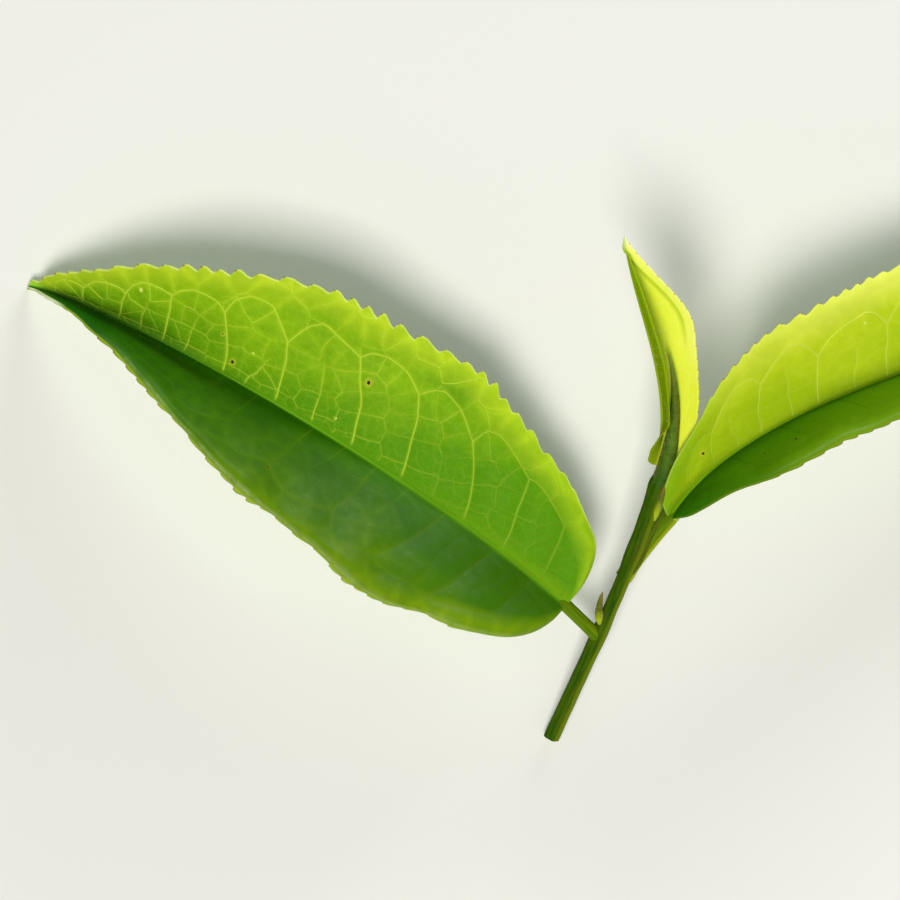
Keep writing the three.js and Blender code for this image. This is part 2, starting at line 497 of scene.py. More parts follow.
venation = {
    "arch": [0.76, 0.84],    # shares of the half width that the arches reach
    "archRise": [[0.2, 0.5], [0.44, 0.82], [0.69, 1.0], [0.88, 0.72]],   # its corners from fork to fork
    "archRandom": 0.05,
    "mainWidth": [0.21, 0.17],
    "archWidth": [0.18, 0.16],
    "weakWidth": [0.15, 0.05],
    "pieces": 14,            # straight stretches in a side vein or an arch
    "kink": [0.26, 0.12],    # sideways wander of a vein and of an arch, in millimetres
    "bends": 5,
    "angular": 0.9,          # how far an arch runs in straight stretches, not in a round one
    "sway": 0.05,            # how far the walls of the cells bend, in cell sizes
    "swayRate": 1.3,
    "fineShare": 0.42,       # size of the finer cells beside the larger ones
    "cellWidth": 0.13,
    "fineWidth": 0.1,
    "quilt": 0.14,           # rise of the skin between side veins
    "quiltReach": 2.0,
    "pillow": 0.05,          # rise of the skin inside a cell
    "pillowReach": 0.9,
    "footQuilt": 2.0,        # how much stronger both are near the foot of the leaf
    "footTo": [0.1, 0.5],    # shares of the midrib between which that ends
    "quiltFromRib": [0.4, 2.0],    # both begin between these distances from the midrib and the margin
    "quiltFromEdge": [0.0, 1.2],
    "groove": 0.08,          # depth of the midrib's groove, in the rib's radii
    "ridge": 0.34,           # height of the midrib in it
    "grooveStart": 0.05,
    "ribHalves": [[0.34, 0.06], [0.45, 0.12]],    # of ridge and groove, in radii, and millimetres more
    "belly": [1.1, 1.4],     # half width and depth of the midrib's underside, in radii
    "cellSink": 0.35,        # depth of a cell's wall and rise of a vein below, in a vein's depth
    "veinBelow": 0.8,
}

cellGrid = {             # all in cell sizes
    "pairsApart": 0.8, "beside": 0.42, "clear": 0.7, "firstRow": 0.4, "rowStep": 0.87, "loose": 0.3,
}

gutter = {"inset": 1.45, "wide": 0.24, "deep": 0.3, "from": 0.42, "to": 0.62}
toothShape = {
    "end": 0.985, "crest": 0.76, "slope": 1.25, "steep": 0.13, "hook": 0.35, "falloff": 9,
    "sizes": [0.65, 1.15], "uneven": [0.3, 0.87], "byLength": 0.6, "glandAt": 0.93,
}
leafMap = {"wide": 0.98, "high": 0.48, "border": 0.01, "topMiddle": 0.24, "backMiddle": 0.74}
columnEase = 0.06
backSpacing = 1.5
faintestWall = {"large": 0.4, "fine": 0.1}
rimRound = 0.25
edgeHalfWidth = 0.3
tipStart = 0.97
dropStart = 0.7
openHalfWidth = 4.0
denseShares = np.linspace(0, 1, 2001)


def named(key, side):
    # side is 1 on the right half of a leaf and -1 on the left one
    return key + ("Right" if side > 0 else "Left")


def halfWidthAt(leaf, share):
    widest = leaf["widest"]
    low = np.clip((widest - share) / widest, 0, 1)
    high = np.clip((share - widest) / (1 - widest), 0, 1)
    foot = (1 - low**2) ** leaf["baseRound"]
    tip = (1 - high ** leaf["tipBulge"]) ** leaf["tipTaper"]
    width = leaf["halfWidth"] * np.where(share < widest, foot, tip)
    nearTip = np.clip((share - tipStart) / (1 - tipStart), 0, 1)
    blunt = leaf["tipBlunt"] * np.sqrt(1 - nearTip**2) * (share > widest)
    least = np.where(share > tipStart, 0.05, edgeHalfWidth)
    return np.maximum(np.maximum(least, width), blunt)


def lengthAt(leaf, share):
    # distance from the base along the midrib, in millimetres
    steps = np.linalg.norm(np.diff(bezier(leaf["midrib"], denseShares), axis=0), axis=1)
    return np.interp(share, denseShares, np.concatenate([[0], np.cumsum(steps)]))


def swellAt(leaf, side, length):
    # how far the margin stands out, or in, at a distance from the base
    swells = leaf[named("swell", side)]
    return sum((height * bump(length, centre, spread) for centre, spread, height in swells), 0 * length)


def marginAt(leaf, side, share):
    # half width with the swells of the margin, without teeth
    width = halfWidthAt(leaf, share)
    swell = swellAt(leaf, side, lengthAt(leaf, share))
    return width + swell * smooth(width, edgeHalfWidth, openHalfWidth)


def toothCount(leaf, side, share):
    # number of teeth between the foot of the leaf and a share of its midrib
    way = lengthAt(leaf, share) / lengthAt(leaf, 1.0)
    count = lerp(share, way, toothShape["byLength"]) * leaf["teeth"][side < 0]
    swing, rate = toothShape["uneven"]
    return count + swing * np.sin(count * rate + leaf["seed"])


def toothAt(leaf, side, share):
    # height of the teeth, which point to the tip of the leaf
    random = np.random.default_rng(leaf["seed"] + (side > 0))
    sizes = random.uniform(*toothShape["sizes"], max(leaf["teeth"]) + 2)
    reached = toothCount(leaf, side, share)
    tooth = np.clip(np.floor(reached).astype(int), 0, len(sizes) - 1)
    within = np.clip(reached - tooth, 0, 1)
    rise = smooth(within, -0.04, toothShape["crest"]) ** toothShape["slope"]
    drop = np.clip((1 - within) / toothShape["steep"], 0, 1) ** toothShape["hook"]
    shown = smooth(share, *leaf["teethFrom"]) * (share < toothShape["end"])
    fading = 0.4 + 0.6 * smooth(halfWidthAt(leaf, share) / leaf["halfWidth"], 0.25, 0.9)
    height = leaf["toothHeight"] * leaf[named("tooth", side)]
    return height * sizes[tooth] * rise * drop * shown * fading


def bladePoints(leaf, share, across, height):
    # across is the signed distance from the midrib along the blade, height the rise from its middle
    centre, along, right, up = sectionAt(leaf["midrib"], share)
    soft = np.sqrt(across**2 + leaf["crease"] ** 2)
    side = across / soft
    settled = smooth(share, leaf["tiltFrom"], leaf["tiltTo"])
    tiltRight = lerp(*leaf["tiltRight"], settled)
    tiltLeft = lerp(*leaf["tiltLeft"], settled)
    opened = np.minimum(1, halfWidthAt(leaf, share) / leaf["opening"])
    tilt = np.radians(lerp(tiltLeft, tiltRight, 0.5 + 0.5 * side) * opened)
    lift = (soft - leaf["crease"]) * np.sin(tilt) + height * np.cos(tilt)
    spread = across * np.cos(tilt) - side * height * np.sin(tilt)
    return centre + spread[:, None] * right + lift[:, None] * up


# Open leaves and young leaf: veins, on the flat plan of a half blade in millimetres

def veinRoutes(leaf, side):
    # lines of the side veins and of the arches that join them, with their half widths
    strong = np.array(leaf[named("veins", side)])
    weak = leaf[named("weak", side)]
    random = np.random.default_rng(leaf["seed"] * 7 + (side > 0))
    share = np.linspace(0, 1, venation["pieces"])
    bends = np.linspace(0, 1, venation["bends"])
    kinks = venation["kink"]
    routes = []

    def addRoute(points, widths, angular=0.0, kink=kinks[0]):
        corners = np.array(points, float)
        reached = np.linspace(0, 1, len(corners))
        straight = np.stack([np.interp(share, reached, corners[:, k]) for k in (0, 1)], axis=1)
        line = lerp(bezier(points, share), straight, angular)
        moved = random.uniform(-1, 1, (2, len(bends))) * kink
        wander = np.stack([np.interp(share, bends, moved[k]) for k in (0, 1)], axis=1)
        line += wander * np.sin(math.pi * share)[:, None]
        routes.append((line, [width * leaf["veinWidth"] for width in widths]))

    def addStem(start, end, reach, widths):
        foot = lengthAt(leaf, start)
        head = lengthAt(leaf, end)
        out = reach * marginAt(leaf, side, np.array([end]))[0]
        addRoute([[foot, 0.0], [lerp(foot, head, 0.3), 0.55 * out], [head, out]], widths)

    for start, end, reach in strong:
        addStem(start, end, reach, venation["mainWidth"])
    for start, end, reach in weak:
        addStem(start, end, reach, venation["weakWidth"])
    head = lengthAt(leaf, strong[:, 1])
    width = marginAt(leaf, side, strong[:, 1])
    out = strong[:, 2] * width
    for k in range(len(strong) - 1):
        reach = random.uniform(*venation["arch"])
        corners = [[head[k], out[k]]]
        for part, rise in venation["archRise"]:
            part, rise = random.uniform(-1, 1, 2) * venation["archRandom"] + [part, rise]
            top = reach * lerp(width[k], width[k + 1], part)
            plain = lerp(out[k], out[k + 1], part)
            corners.append([lerp(head[k], head[k + 1], part), lerp(plain, top, rise)])
        corners.append([head[k + 1], out[k + 1]])
        addRoute(corners, venation["archWidth"], venation["angular"], kinks[1])
    return routes


def veinSegments(leaf, side):
    # straight stretches of the veins
    routes = veinRoutes(leaf, side)
    starts = np.concatenate([route[:-1] for route, width in routes])
    ends = np.concatenate([route[1:] for route, width in routes])
    widths = np.concatenate([np.linspace(*width, len(route) - 1) for route, width in routes])
    return starts, ends, widths


def inBatches(count, work, size=3000):
    parts = [work(slice(start, min(start + size, count))) for start in range(0, count, size)]
    return [np.concatenate(values) for values in zip(*parts)]


def nearestVein(spots, starts, ends, widths):
    # distance to the nearest side vein or arch, and how strongly its line shows
    run = ends - starts
    squared = (run**2).sum(axis=1)

    def batch(part):
        gap = spots[part, None, :] - starts[None]
        share = np.clip((gap * run).sum(axis=2) / squared, 0, 1)
        away = np.linalg.norm(gap - share[:, :, None] * run, axis=2)
        line = np.exp(-((away / widths) ** 2)).max(axis=1)
        return away.min(axis=1), line

    return inBatches(len(spots), batch)


def cellCentres(leaf, size, starts, ends, random):
    # pairs of centres that mirror each other in the side veins, so that cells end there, and a loose
    # grid of others between them
    middle = (starts + ends) / 2
    run = ends - starts
    normal = np.stack([-run[:, 1], run[:, 0]], axis=1) / np.linalg.norm(run, axis=1)[:, None]
    kept = []
    for spot in middle:
        if all(np.hypot(*(spot - other)) > cellGrid["pairsApart"] * size for other in kept):
            kept.append(spot)
    index = [int(np.argmin(np.hypot(*(middle - spot).T))) for spot in kept]
    beside = [sign * cellGrid["beside"] * size * normal[index] for sign in (-1, 1)]
    pairs = np.concatenate([middle[index] + step for step in beside])
    length = lengthAt(leaf, 1.0)
    columns = np.arange(-size, length + size, size)
    rows = np.arange(size * cellGrid["firstRow"], leaf["halfWidth"] + size, size * cellGrid["rowStep"])
    grid = np.array([[x + 0.5 * size * (k % 2), y] for k, y in enumerate(rows) for x in columns])
    grid += random.uniform(-cellGrid["loose"], cellGrid["loose"], grid.shape) * size
    clear = [np.hypot(*(pairs - spot).T).min() > cellGrid["clear"] * size for spot in grid]
    return np.concatenate([pairs, grid[clear]])


def cellLayout(leaf, side):
    # centres of the larger and of the finer cells, with the stretches of the veins
    random = np.random.default_rng(leaf["seed"] * 31 + (side > 0))
    veins = veinSegments(leaf, side)
    sizes = leaf["cellSize"] * np.array([1, venation["fineShare"]])
    return veins, [cellCentres(leaf, size, *veins[:2], random) for size in sizes]


def swayAt(leaf, spots, away):
    # how far the walls of the cells bend away from straight lines
    wander = venation["sway"] * leaf["cellSize"] * smooth(away, 0.2, 1.5)
    bend = spots * venation["swayRate"] / leaf["cellSize"]
    first = np.sin(bend[:, 1] * 2.1 + np.sin(bend[:, 0] * 1.3) * 1.5)
    second = np.sin(bend[:, 0] * 1.9 + np.sin(bend[:, 1] * 1.7) * 1.5)
    return wander[:, None] * np.stack([first, second], axis=1)


def wallStrength(low, high, faintest):
    # a strength of its own for each wall, from the numbers of its two cells
    own = (np.sin(low * 12.9898 + high * 78.233) * 43758.5453) % 1
    return lerp(faintest, 1, own)


def cellWalls(spots, centres, width, faintest):
    # lines between the cells round the centres, each with a strength of its own
    def batch(part):
        gap = ((spots[part, None, :] - centres[None]) ** 2).sum(axis=2)
        near = np.argpartition(gap, 4, axis=1)[:, :4]
        gaps = np.take_along_axis(gap, near, axis=1)
        order = np.argsort(gaps, axis=1)
        near = np.take_along_axis(near, order, axis=1)
        gaps = np.take_along_axis(gaps, order, axis=1)
        apart = np.linalg.norm(centres[near[:, 1:]] - centres[near[:, :1]], axis=2)
        wall = (gaps[:, 1:] - gaps[:, :1]) / (2 * apart)
        low = np.minimum(near[:, 1:], near[:, :1])
        high = np.maximum(near[:, 1:], near[:, :1])
        line = (wallStrength(low, high, faintest) * np.exp(-((wall / width) ** 2))).max(axis=1)
        return wall.min(axis=1), line

    return inBatches(len(spots), batch)


def bladeFields(leaf, share, across):
    # what the shape and the skin need to know at each point of a blade
    length = lengthAt(leaf, share)
    keys = ("main", "away", "cells", "pillow", "fine", "edge", "rim", "reach")
    fields = {key: np.zeros(len(share)) for key in keys}
    for side in (-1, 1):
        mine = (across >= 0) if side > 0 else (across < 0)
        if not mine.any():
            continue
        margin = marginAt(leaf, side, share[mine])
        out = np.abs(across[mine])
        spots = np.stack([length[mine], out], axis=1)
        veins, (large, small) = cellLayout(leaf, side)
        away, main = nearestVein(spots, *veins)
        spots += swayAt(leaf, spots, away)
        pillow, cells = cellWalls(spots, large, venation["cellWidth"], faintestWall["large"])
        pillow = smooth(np.minimum(pillow, away), 0, venation["pillowReach"])
        fine = cellWalls(spots, small, venation["fineWidth"], faintestWall["fine"])[1]
        edge = margin - out
        rim = edge + toothAt(leaf, side, share[mine])
        reach = np.clip(out / margin, 0, 1)
        for key, values in zip(keys, (main, away, cells, pillow, fine, edge, rim, reach)):
            fields[key][mine] = values
    fields["length"] = length
    return fields


def reliefAt(leaf, across):
    # how strong the relief is on the lit half and on the shaded one
    lit, shaded = leaf["relief"]
    return lerp(shaded, lit, smooth(across * leaf["litSide"], -0.5, 0.5))


def bladeRise(leaf, share, across, fields):
    # how far the middle of the blade stands off its plain fold
    width = halfWidthAt(leaf, share) / leaf["halfWidth"]
    rise = leaf["crown"] * np.sin(math.pi * fields["reach"]) * width
    for height, wave, start in leaf["ripple"]:
        turn = (fields["length"] - start) / wave + 0.25 * (across > 0)
        rise += height * fields["reach"] ** 2 * np.sin(2 * math.pi * turn) * width
    inner = smooth(np.abs(across), *venation["quiltFromRib"])
    inner = inner * smooth(fields["edge"], *venation["quiltFromEdge"])
    quilted = venation["quilt"] * smooth(fields["away"], 0, venation["quiltReach"])
    quilted += venation["pillow"] * fields["pillow"]
    quilted *= 1 + venation["footQuilt"] * (1 - smooth(share, *venation["footTo"]))
    quilted *= reliefAt(leaf, across)
    rise -= gutter["deep"] * gutterAt(leaf, share, across, fields["edge"])
    return rise + quilted * inner * leaf["crown"] * 2


def gutterAt(leaf, share, across, edge):
    # a narrow valley just inside the young leaf's right margin
    shown = smooth(share, gutter["from"], gutter["to"]) * (across > 0) * (leaf is youngLeaf)
    return bump(edge, gutter["inset"], gutter["wide"]) * shown


def curled(leaf, share, across, height, edge):
    # the margin bends down, or up over the blade, on an arc
    out, rise = np.abs(across), height.copy()
    for side in (1, -1):
        curl = leaf[named("curl", side)]
        mine = (across * side > 0) & (edge < curl["wide"])
        angle = curl["angle"] + curl["extra"] * bump(share[mine], curl["centre"], curl["spread"])
        angle = np.radians(angle) * smooth(halfWidthAt(leaf, share[mine]), 1.0, openHalfWidth)
        angle = np.where(np.abs(angle) < 0.01, 0.01, angle)
        past = curl["wide"] - edge[mine]
        turn = angle * past / curl["wide"]
        radius = curl["wide"] / angle
        thick = height[mine]
        out[mine] += radius * np.sin(turn) - past - thick * np.sin(turn)
        rise[mine] = radius * (1 - np.cos(turn)) + thick * np.cos(turn)
    return np.sign(across) * out, rise


def bladeSurface(leaf, share, across, fields, offset):
    # points of the blade, offset from its middle by a height
    height = bladeRise(leaf, share, across, fields) + offset
    bent, rise = curled(leaf, share, across, height, fields["edge"])
    points = bladePoints(leaf, share, bent, rise)
    points[:, 2] -= leaf["drop"] * smooth(share, dropStart, 1.0)
    return points


def bladeThickness(leaf, share, across, fields):
    # rises of the upper and lower skin off the blade's middle
    radius = lerp(*leaf["ribRadius"], share)
    rim = np.clip(1 - fields["rim"] / rimRound, 0, 1)
    thick = leaf["thickness"] / 2 * np.sqrt(1 - rim**2)
    groove = venation["groove"] * radius * smooth(share, 0, venation["grooveStart"])
    ridgeHalf, grooveHalf = [wide * radius + more for wide, more in venation["ribHalves"]]
    ridge = venation["ridge"] / venation["groove"] * groove * bump(across, 0, ridgeHalf)
    groove = groove * bump(across, 0, grooveHalf)
    lines = (fields["main"] + venation["cellSink"] * fields["cells"]) * smooth(fields["edge"], 0, 1)
    wide, deep = venation["belly"]
    belly = np.sqrt(np.clip(1 - (across / (wide * radius)) ** 2, 0, 1))
    sunk = leaf["veinSink"] * lines * reliefAt(leaf, across)
    upper = thick - groove + ridge - sunk
    lower = -lerp(thick + venation["veinBelow"] * sunk, deep * radius, belly)
    return upper, lower


def easedSteps(count, end):
    # shares from 0 to 1 that stand closer at both ends
    share = np.linspace(0, 1, count + 1)
    return share - end * np.sin(2 * math.pi * share)


def buildBlade(leaf, face, back):
    rows = np.linspace(0, 1, leaf["alongSteps"] + 1)[1:-1]
    left, right = [easedSteps(leaf[key], columnEase) for key in ("columnsLeft", "columnsRight")]
    below = np.linspace(0, 1, leaf["backColumns"] + 1) ** backSpacing
    topShares = np.concatenate([-left[:0:-1], right])
    backShares = np.concatenate([-below[:0:-1], below])[1:-1]

    def spread(shares):
        share = np.repeat(rows, len(shares))
        signed = np.tile(shares, len(rows))
        width, tooth = [
            np.where(signed > 0, rule(leaf, 1, share), rule(leaf, -1, share))
            for rule in (marginAt, toothAt)
        ]
        out = width * np.abs(signed) + tooth * np.abs(signed) ** toothShape["falloff"]
        return share, np.sign(signed) * out

    topShare, topAcross = spread(topShares)
    backShare, backAcross = spread(backShares)
    share = np.concatenate([topShare, backShare, [0.0, 1.0]])
    across = np.concatenate([topAcross, backAcross, [0.0, 0.0]])
    isBack = np.arange(len(share)) >= len(topShare)
    isRim = np.zeros(len(share), bool)
    isRim[: len(topShare)] = np.abs(np.tile(topShares, len(rows))) > 0.9999
    isRim[-2:] = True

    fields = bladeFields(leaf, share, across)
    upper, lower = bladeThickness(leaf, share, across, fields)
    offset = np.where(isRim, 0, np.where(isBack, lower, upper))
    points = bladeSurface(leaf, share, across, fields, offset)
    if leaf["liesOnTip"]:
        leaf["drop"] = (points[:, 2] + place[2]).min()
        points[:, 2] -= leaf["drop"] * smooth(share, dropStart, 1.0)
        print(leaf["name"], "tip lowered by", round(float(leaf["drop"]), 3), "mm")

    topIndex = np.arange(len(topShare)).reshape(len(rows), len(topShares))
    inner = (len(topShare) + np.arange(len(backShare))).reshape(len(rows), len(backShares))
    backIndex = np.column_stack([topIndex[:, 0], inner, topIndex[:, -1]])
    foot, tip = len(share) - 2, len(share) - 1

    def quads(index):
        corners = [index[:-1, :-1], index[:-1, 1:], index[1:, 1:], index[1:, :-1]]
        return np.stack(corners, axis=-1).reshape(-1, 4)

    def fan(edge, middle):
        return [(int(edge[k]), int(edge[k + 1]), middle) for k in range(len(edge) - 1)]

    topFaces = quads(topIndex).tolist() + fan(topIndex[0][::-1], foot) + fan(topIndex[-1], tip)
    backFaces = quads(backIndex)[:, ::-1].tolist()
    backFaces += fan(backIndex[0], foot) + fan(backIndex[-1][::-1], tip)
    plan = np.stack([fields["length"], across, np.zeros(len(share))], axis=1)
    layers = {
        "plan": plan,
        "share": share,
        "across": across,
        "veins": fields["main"],
        **{key: fields[key] for key in ("edge", "rim", "cells", "fine", "pillow")},
        "gutter": gutterAt(leaf, share, across, fields["edge"]),
        "gland": glandNear(leaf, share, across),
        "speck": specksNear(leaf, fields["length"], across, "dark"),
        "halo": specksNear(leaf, fields["length"], across, "dark", 2.6),
        "dot": specksNear(leaf, fields["length"], across, "pale"),
        "along": sectionAt(leaf["midrib"], share)[1],
    }
    slots = [0] * len(topFaces) + [1] * len(backFaces)
    materials = [leafSkin(face), leafSkin(back)]
    made = makeMesh(leaf["name"] + "Blade", points, topFaces + backFaces, materials, layers, slots)
    addLeafMap(made, plan, len(topFaces))
    dress(made, leaf["slot"], leaf["node"])
    return made


def addLeafMap(piece, plan, topFaces):
    # a flat map of the blade, upper side in one half of the square and underside in the other
    mesh = piece.data
    corner = np.zeros(len(mesh.loops), np.int32)
    mesh.loops.foreach_get("vertex_index", corner)
    sizes = np.zeros(len(mesh.polygons), np.int32)
    mesh.polygons.foreach_get("loop_total", sizes)
    isBack = np.repeat(np.arange(len(sizes)) >= topFaces, sizes)
    scale = min(leafMap["wide"] / plan[:, 0].max(), leafMap["high"] / (2 * np.abs(plan[:, 1]).max()))
    flat = leafMap["border"] + plan[corner, :2] * scale
    flat[:, 1] += np.where(isBack, leafMap["backMiddle"], leafMap["topMiddle"])
    layer = mesh.uv_layers.new(name="OFBake")
    layer.uv.foreach_set("vector", flat.astype(np.float32).ravel())


# Open leaves and young leaf: glands on the teeth and small specks

marks = {
    "leaf_lower": {
        "dark": [[34.3, 8.6, 0.24], [49.6, 2.5, 0.24], [51.8, 5.7, 0.14], [38.8, -11.8, 0.16]],
        "pale": [[62.4, 6.9, 0.24], [35.6, 2.5, 0.16], [47.7, 5.0, 0.16]],
    },
    "leaf_upper": {
        "dark": [[8.4, -3.9, 0.2], [14.0, 6.2, 0.16], [17.8, 7.5, 0.22], [29.0, 3.9, 0.16]],
        "pale": [[30.5, -9.0, 0.16]],
    },
    "young_leaf": {"dark": [], "pale": []},
    "long": 0.85,
}


def toothTips(leaf, side):
    # where the teeth that have a gland end: shares of the midrib and distances from it
    dense = np.linspace(0, 1, 4001)
    ends = np.arange(max(leaf["teeth"]) + 1) + toothShape["glandAt"]
    share = np.interp(ends, toothCount(leaf, side, dense), dense)
    share = share[(share > sum(leaf["teethFrom"]) / 2) & (share < leaf["glandsTo"][side < 0])]
    return share, marginAt(leaf, side, share) + toothAt(leaf, side, share)


def glandNear(leaf, share, across):
    # 1 at the tip of a tooth, fading over a fraction of a millimetre
    length = lengthAt(leaf, share)
    near = np.zeros(len(share))
    for side in (-1, 1):
        tips, outs = toothTips(leaf, side)
        tipLengths = lengthAt(leaf, tips)
        mine = np.flatnonzero(across * side > 0.5 * halfWidthAt(leaf, share))
        gap = (length[mine, None] - tipLengths) ** 2 + (np.abs(across[mine, None]) - outs) ** 2
        near[mine] = np.exp(-gap.min(axis=1) / leaf["glandReach"] ** 2)
    return near


def specksNear(leaf, length, across, kind, larger=1.0):
    # 1 in the middle of a speck, which is a little longer along the leaf
    near = np.zeros(len(length))
    for along, out, size in marks[leaf["node"]][kind]:
        gap = ((length - along) / marks["long"]) ** 2 + ((across - out) * marks["long"]) ** 2
        near = np.maximum(near, np.exp(-gap / (size * larger) ** 2))
    return near


# Open leaves and young leaf: skins

white = (255, 255, 255)

plainLook = {
    "shade": white, "shadeTip": white, "glowThrough": 0.0, "glowShow": 0.85, "rimLight": 0.0,
    "crease": white, "paintedCreaseShow": [0.0, 0.0], "paintedCreaseReach": 3.0, "creaseLight": 0.0,
    "foot": white, "footShow": 0.0, "litSide": 1, "litRoughness": 0.0, "tipLightShow": 0.0,
    "sheenTint": white, "sheenAt": [0.2, 0.2, 0.0], "sheenRange": [0.0, 0.1, 0.9, 1.0],
}

youngLook = {
    **plainLook,
    "tip": (236, 238, 190), "rim": (150, 160, 50), "rimShow": 0.1, "glowFrom": [0.3, 0.5],
    "veinShow": 0.35,
}

skins = {
    "lowerFace": {
        **plainLook,
        "deep": (83, 143, 0), "blade": (150, 192, 6), "margin": (192, 214, 34),
        "vein": (196, 222, 62), "rib": (84, 144, 8), "ribLine": (112, 164, 22),
        "ridge": (112, 158, 12), "tip": (146, 184, 26),
        "shade": (192, 196, 104), "shadeTip": (30, 122, 8),
        "glow": 3.4, "glowShow": 0.75, "glowFrom": [-0.15, 0.15], "rimLight": 0.55,
        "lineShow": [0.1, 0.9], "veinShow": 1.0, "ribWidth": 0.8,
        # crease: painted light, a tint that brightens the shaded half beside the midrib
        "crease": (2.4, 2.4, 2.0, 1.0), "paintedCreaseShow": [0.0, 1.0], "paintedCreaseReach": 4.5, "creaseLight": 1.0,
        "foot": (164, 206, 14), "footShow": 0.5,
        "gloss": 0.1, "roughness": [0.38, 0.5], "litRoughness": 0.26,
        "sheenTint": (158, 180, 104), "sheenAt": [0.42, 0.34, 0.5],
        "sheenRange": [0.0, 0.12, 0.66, 0.78],
        "rim": (160, 184, 44), "rimShow": 0.75, "tipLightShow": 1.0,
    },
    "upperFace": {
        **plainLook,
        "deep": (164, 194, 14), "blade": (206, 222, 36), "margin": (238, 242, 104),
        "vein": (232, 240, 112), "rib": (112, 160, 10), "ribLine": (84, 156, 14),
        "ridge": (104, 152, 10), "tip": (206, 222, 50),
        "shade": (112, 158, 34), "shadeTip": (124, 160, 26), "litSide": -1,
        "glow": 4.5, "glowFrom": [0.2, 0.6], "rimLight": 0.2,
        "lineShow": [0.0, 0.5], "veinShow": 0.45, "ribWidth": 0.9,
        # crease: painted shade, a tint that darkens the shaded half beside the midrib
        "crease": (96, 228, 96), "paintedCreaseShow": [0.5, 0.1], "paintedCreaseReach": 6.0,
        "foot": (112, 160, 8), "footShow": 0.8,
        "gloss": 0.07, "roughness": [0.5, 0.6], "litRoughness": 0.14,
        "sheenTint": (128, 154, 76), "sheenAt": [0.55, 0.3, 0.62],
        "sheenRange": [0.22, 0.34, 0.6, 0.9],
        "rim": (134, 152, 30), "rimShow": 0.4,
    },
    "openBack": {
        **plainLook,
        "deep": (128, 166, 50), "blade": (146, 182, 66), "margin": (176, 202, 80),
        "vein": (186, 208, 108), "rib": (176, 200, 92), "ribLine": (188, 208, 104),
        "ridge": (176, 200, 92), "tip": (160, 190, 70),
        "glow": 1.6, "glowFrom": [-1.0, 0.0], "lineShow": [0.9, 0.9], "veinShow": 1.0, "ribWidth": 0.9,
        "foot": (140, 160, 24), "footShow": 0.9,
        "gloss": 0.18, "roughness": [0.5, 0.62],
        "rim": (150, 140, 50), "rimShow": 0.3,
    },
    "youngFace": {
        **youngLook,
        "deep": (222, 230, 60), "blade": (240, 244, 92), "margin": (240, 244, 124),
        "vein": (244, 247, 140), "rib": (190, 204, 50), "ribLine": (226, 232, 104),
        "ridge": (110, 136, 20), "shade": (140, 160, 22), "shadeTip": (150, 180, 40),
        "glow": 1.6, "glowThrough": 0.6, "lineShow": [-0.3, 0.9], "ribWidth": 0.2,
        "gloss": 0.1, "roughness": [0.4, 0.5], "litRoughness": 0.1,
    },
    "youngBack": {
        **youngLook,
        "deep": (216, 226, 66), "blade": (232, 238, 92), "margin": (236, 240, 120),
        "vein": (238, 242, 128), "rib": (140, 168, 40), "ribLine": (176, 196, 66),
        "ridge": (140, 168, 40), "shade": (138, 160, 10), "shadeTip": (148, 180, 14),
        "glow": 2.0, "glowThrough": 0.4, "lineShow": [0.9, 0.9], "ribWidth": 0.5,
        "gloss": 0.0, "roughness": [0.45, 0.6],
    },
    "gland": (146, 88, 44),
    "speck": (52, 36, 20),
    "halo": (206, 204, 60),
    "dot": (232, 240, 120),
    # rimLight: tint of the painted highlight along the lit half's rim
    "rimLight": (228, 234, 140),
    "veinShow": [0.85, 0.34, 0.16, 0.14, 0.07],   # cords, side veins, cells, finer cells, finest net
    "shadedShow": [0.45, 0.5, 0.12, 0.0, 0.0],    # the same, in how far they show on the shaded half
    "dots": {"scale": 1.5, "size": 0.1, "dark": 0.45, "pale": 0.35},
    # creaseLight: tint of painted light for the lit half beside the midrib near the tip
    "creaseLight": (150, 236, 60),
    "paintedTipLight": (216, 224, 176),
    "glowReach": (0.7, 1.0, 0.2),
    "glowDepth": 0.5,      # in millimetres
    "fineCells": 1.5,
    "reliefHeight": 0.012,
}


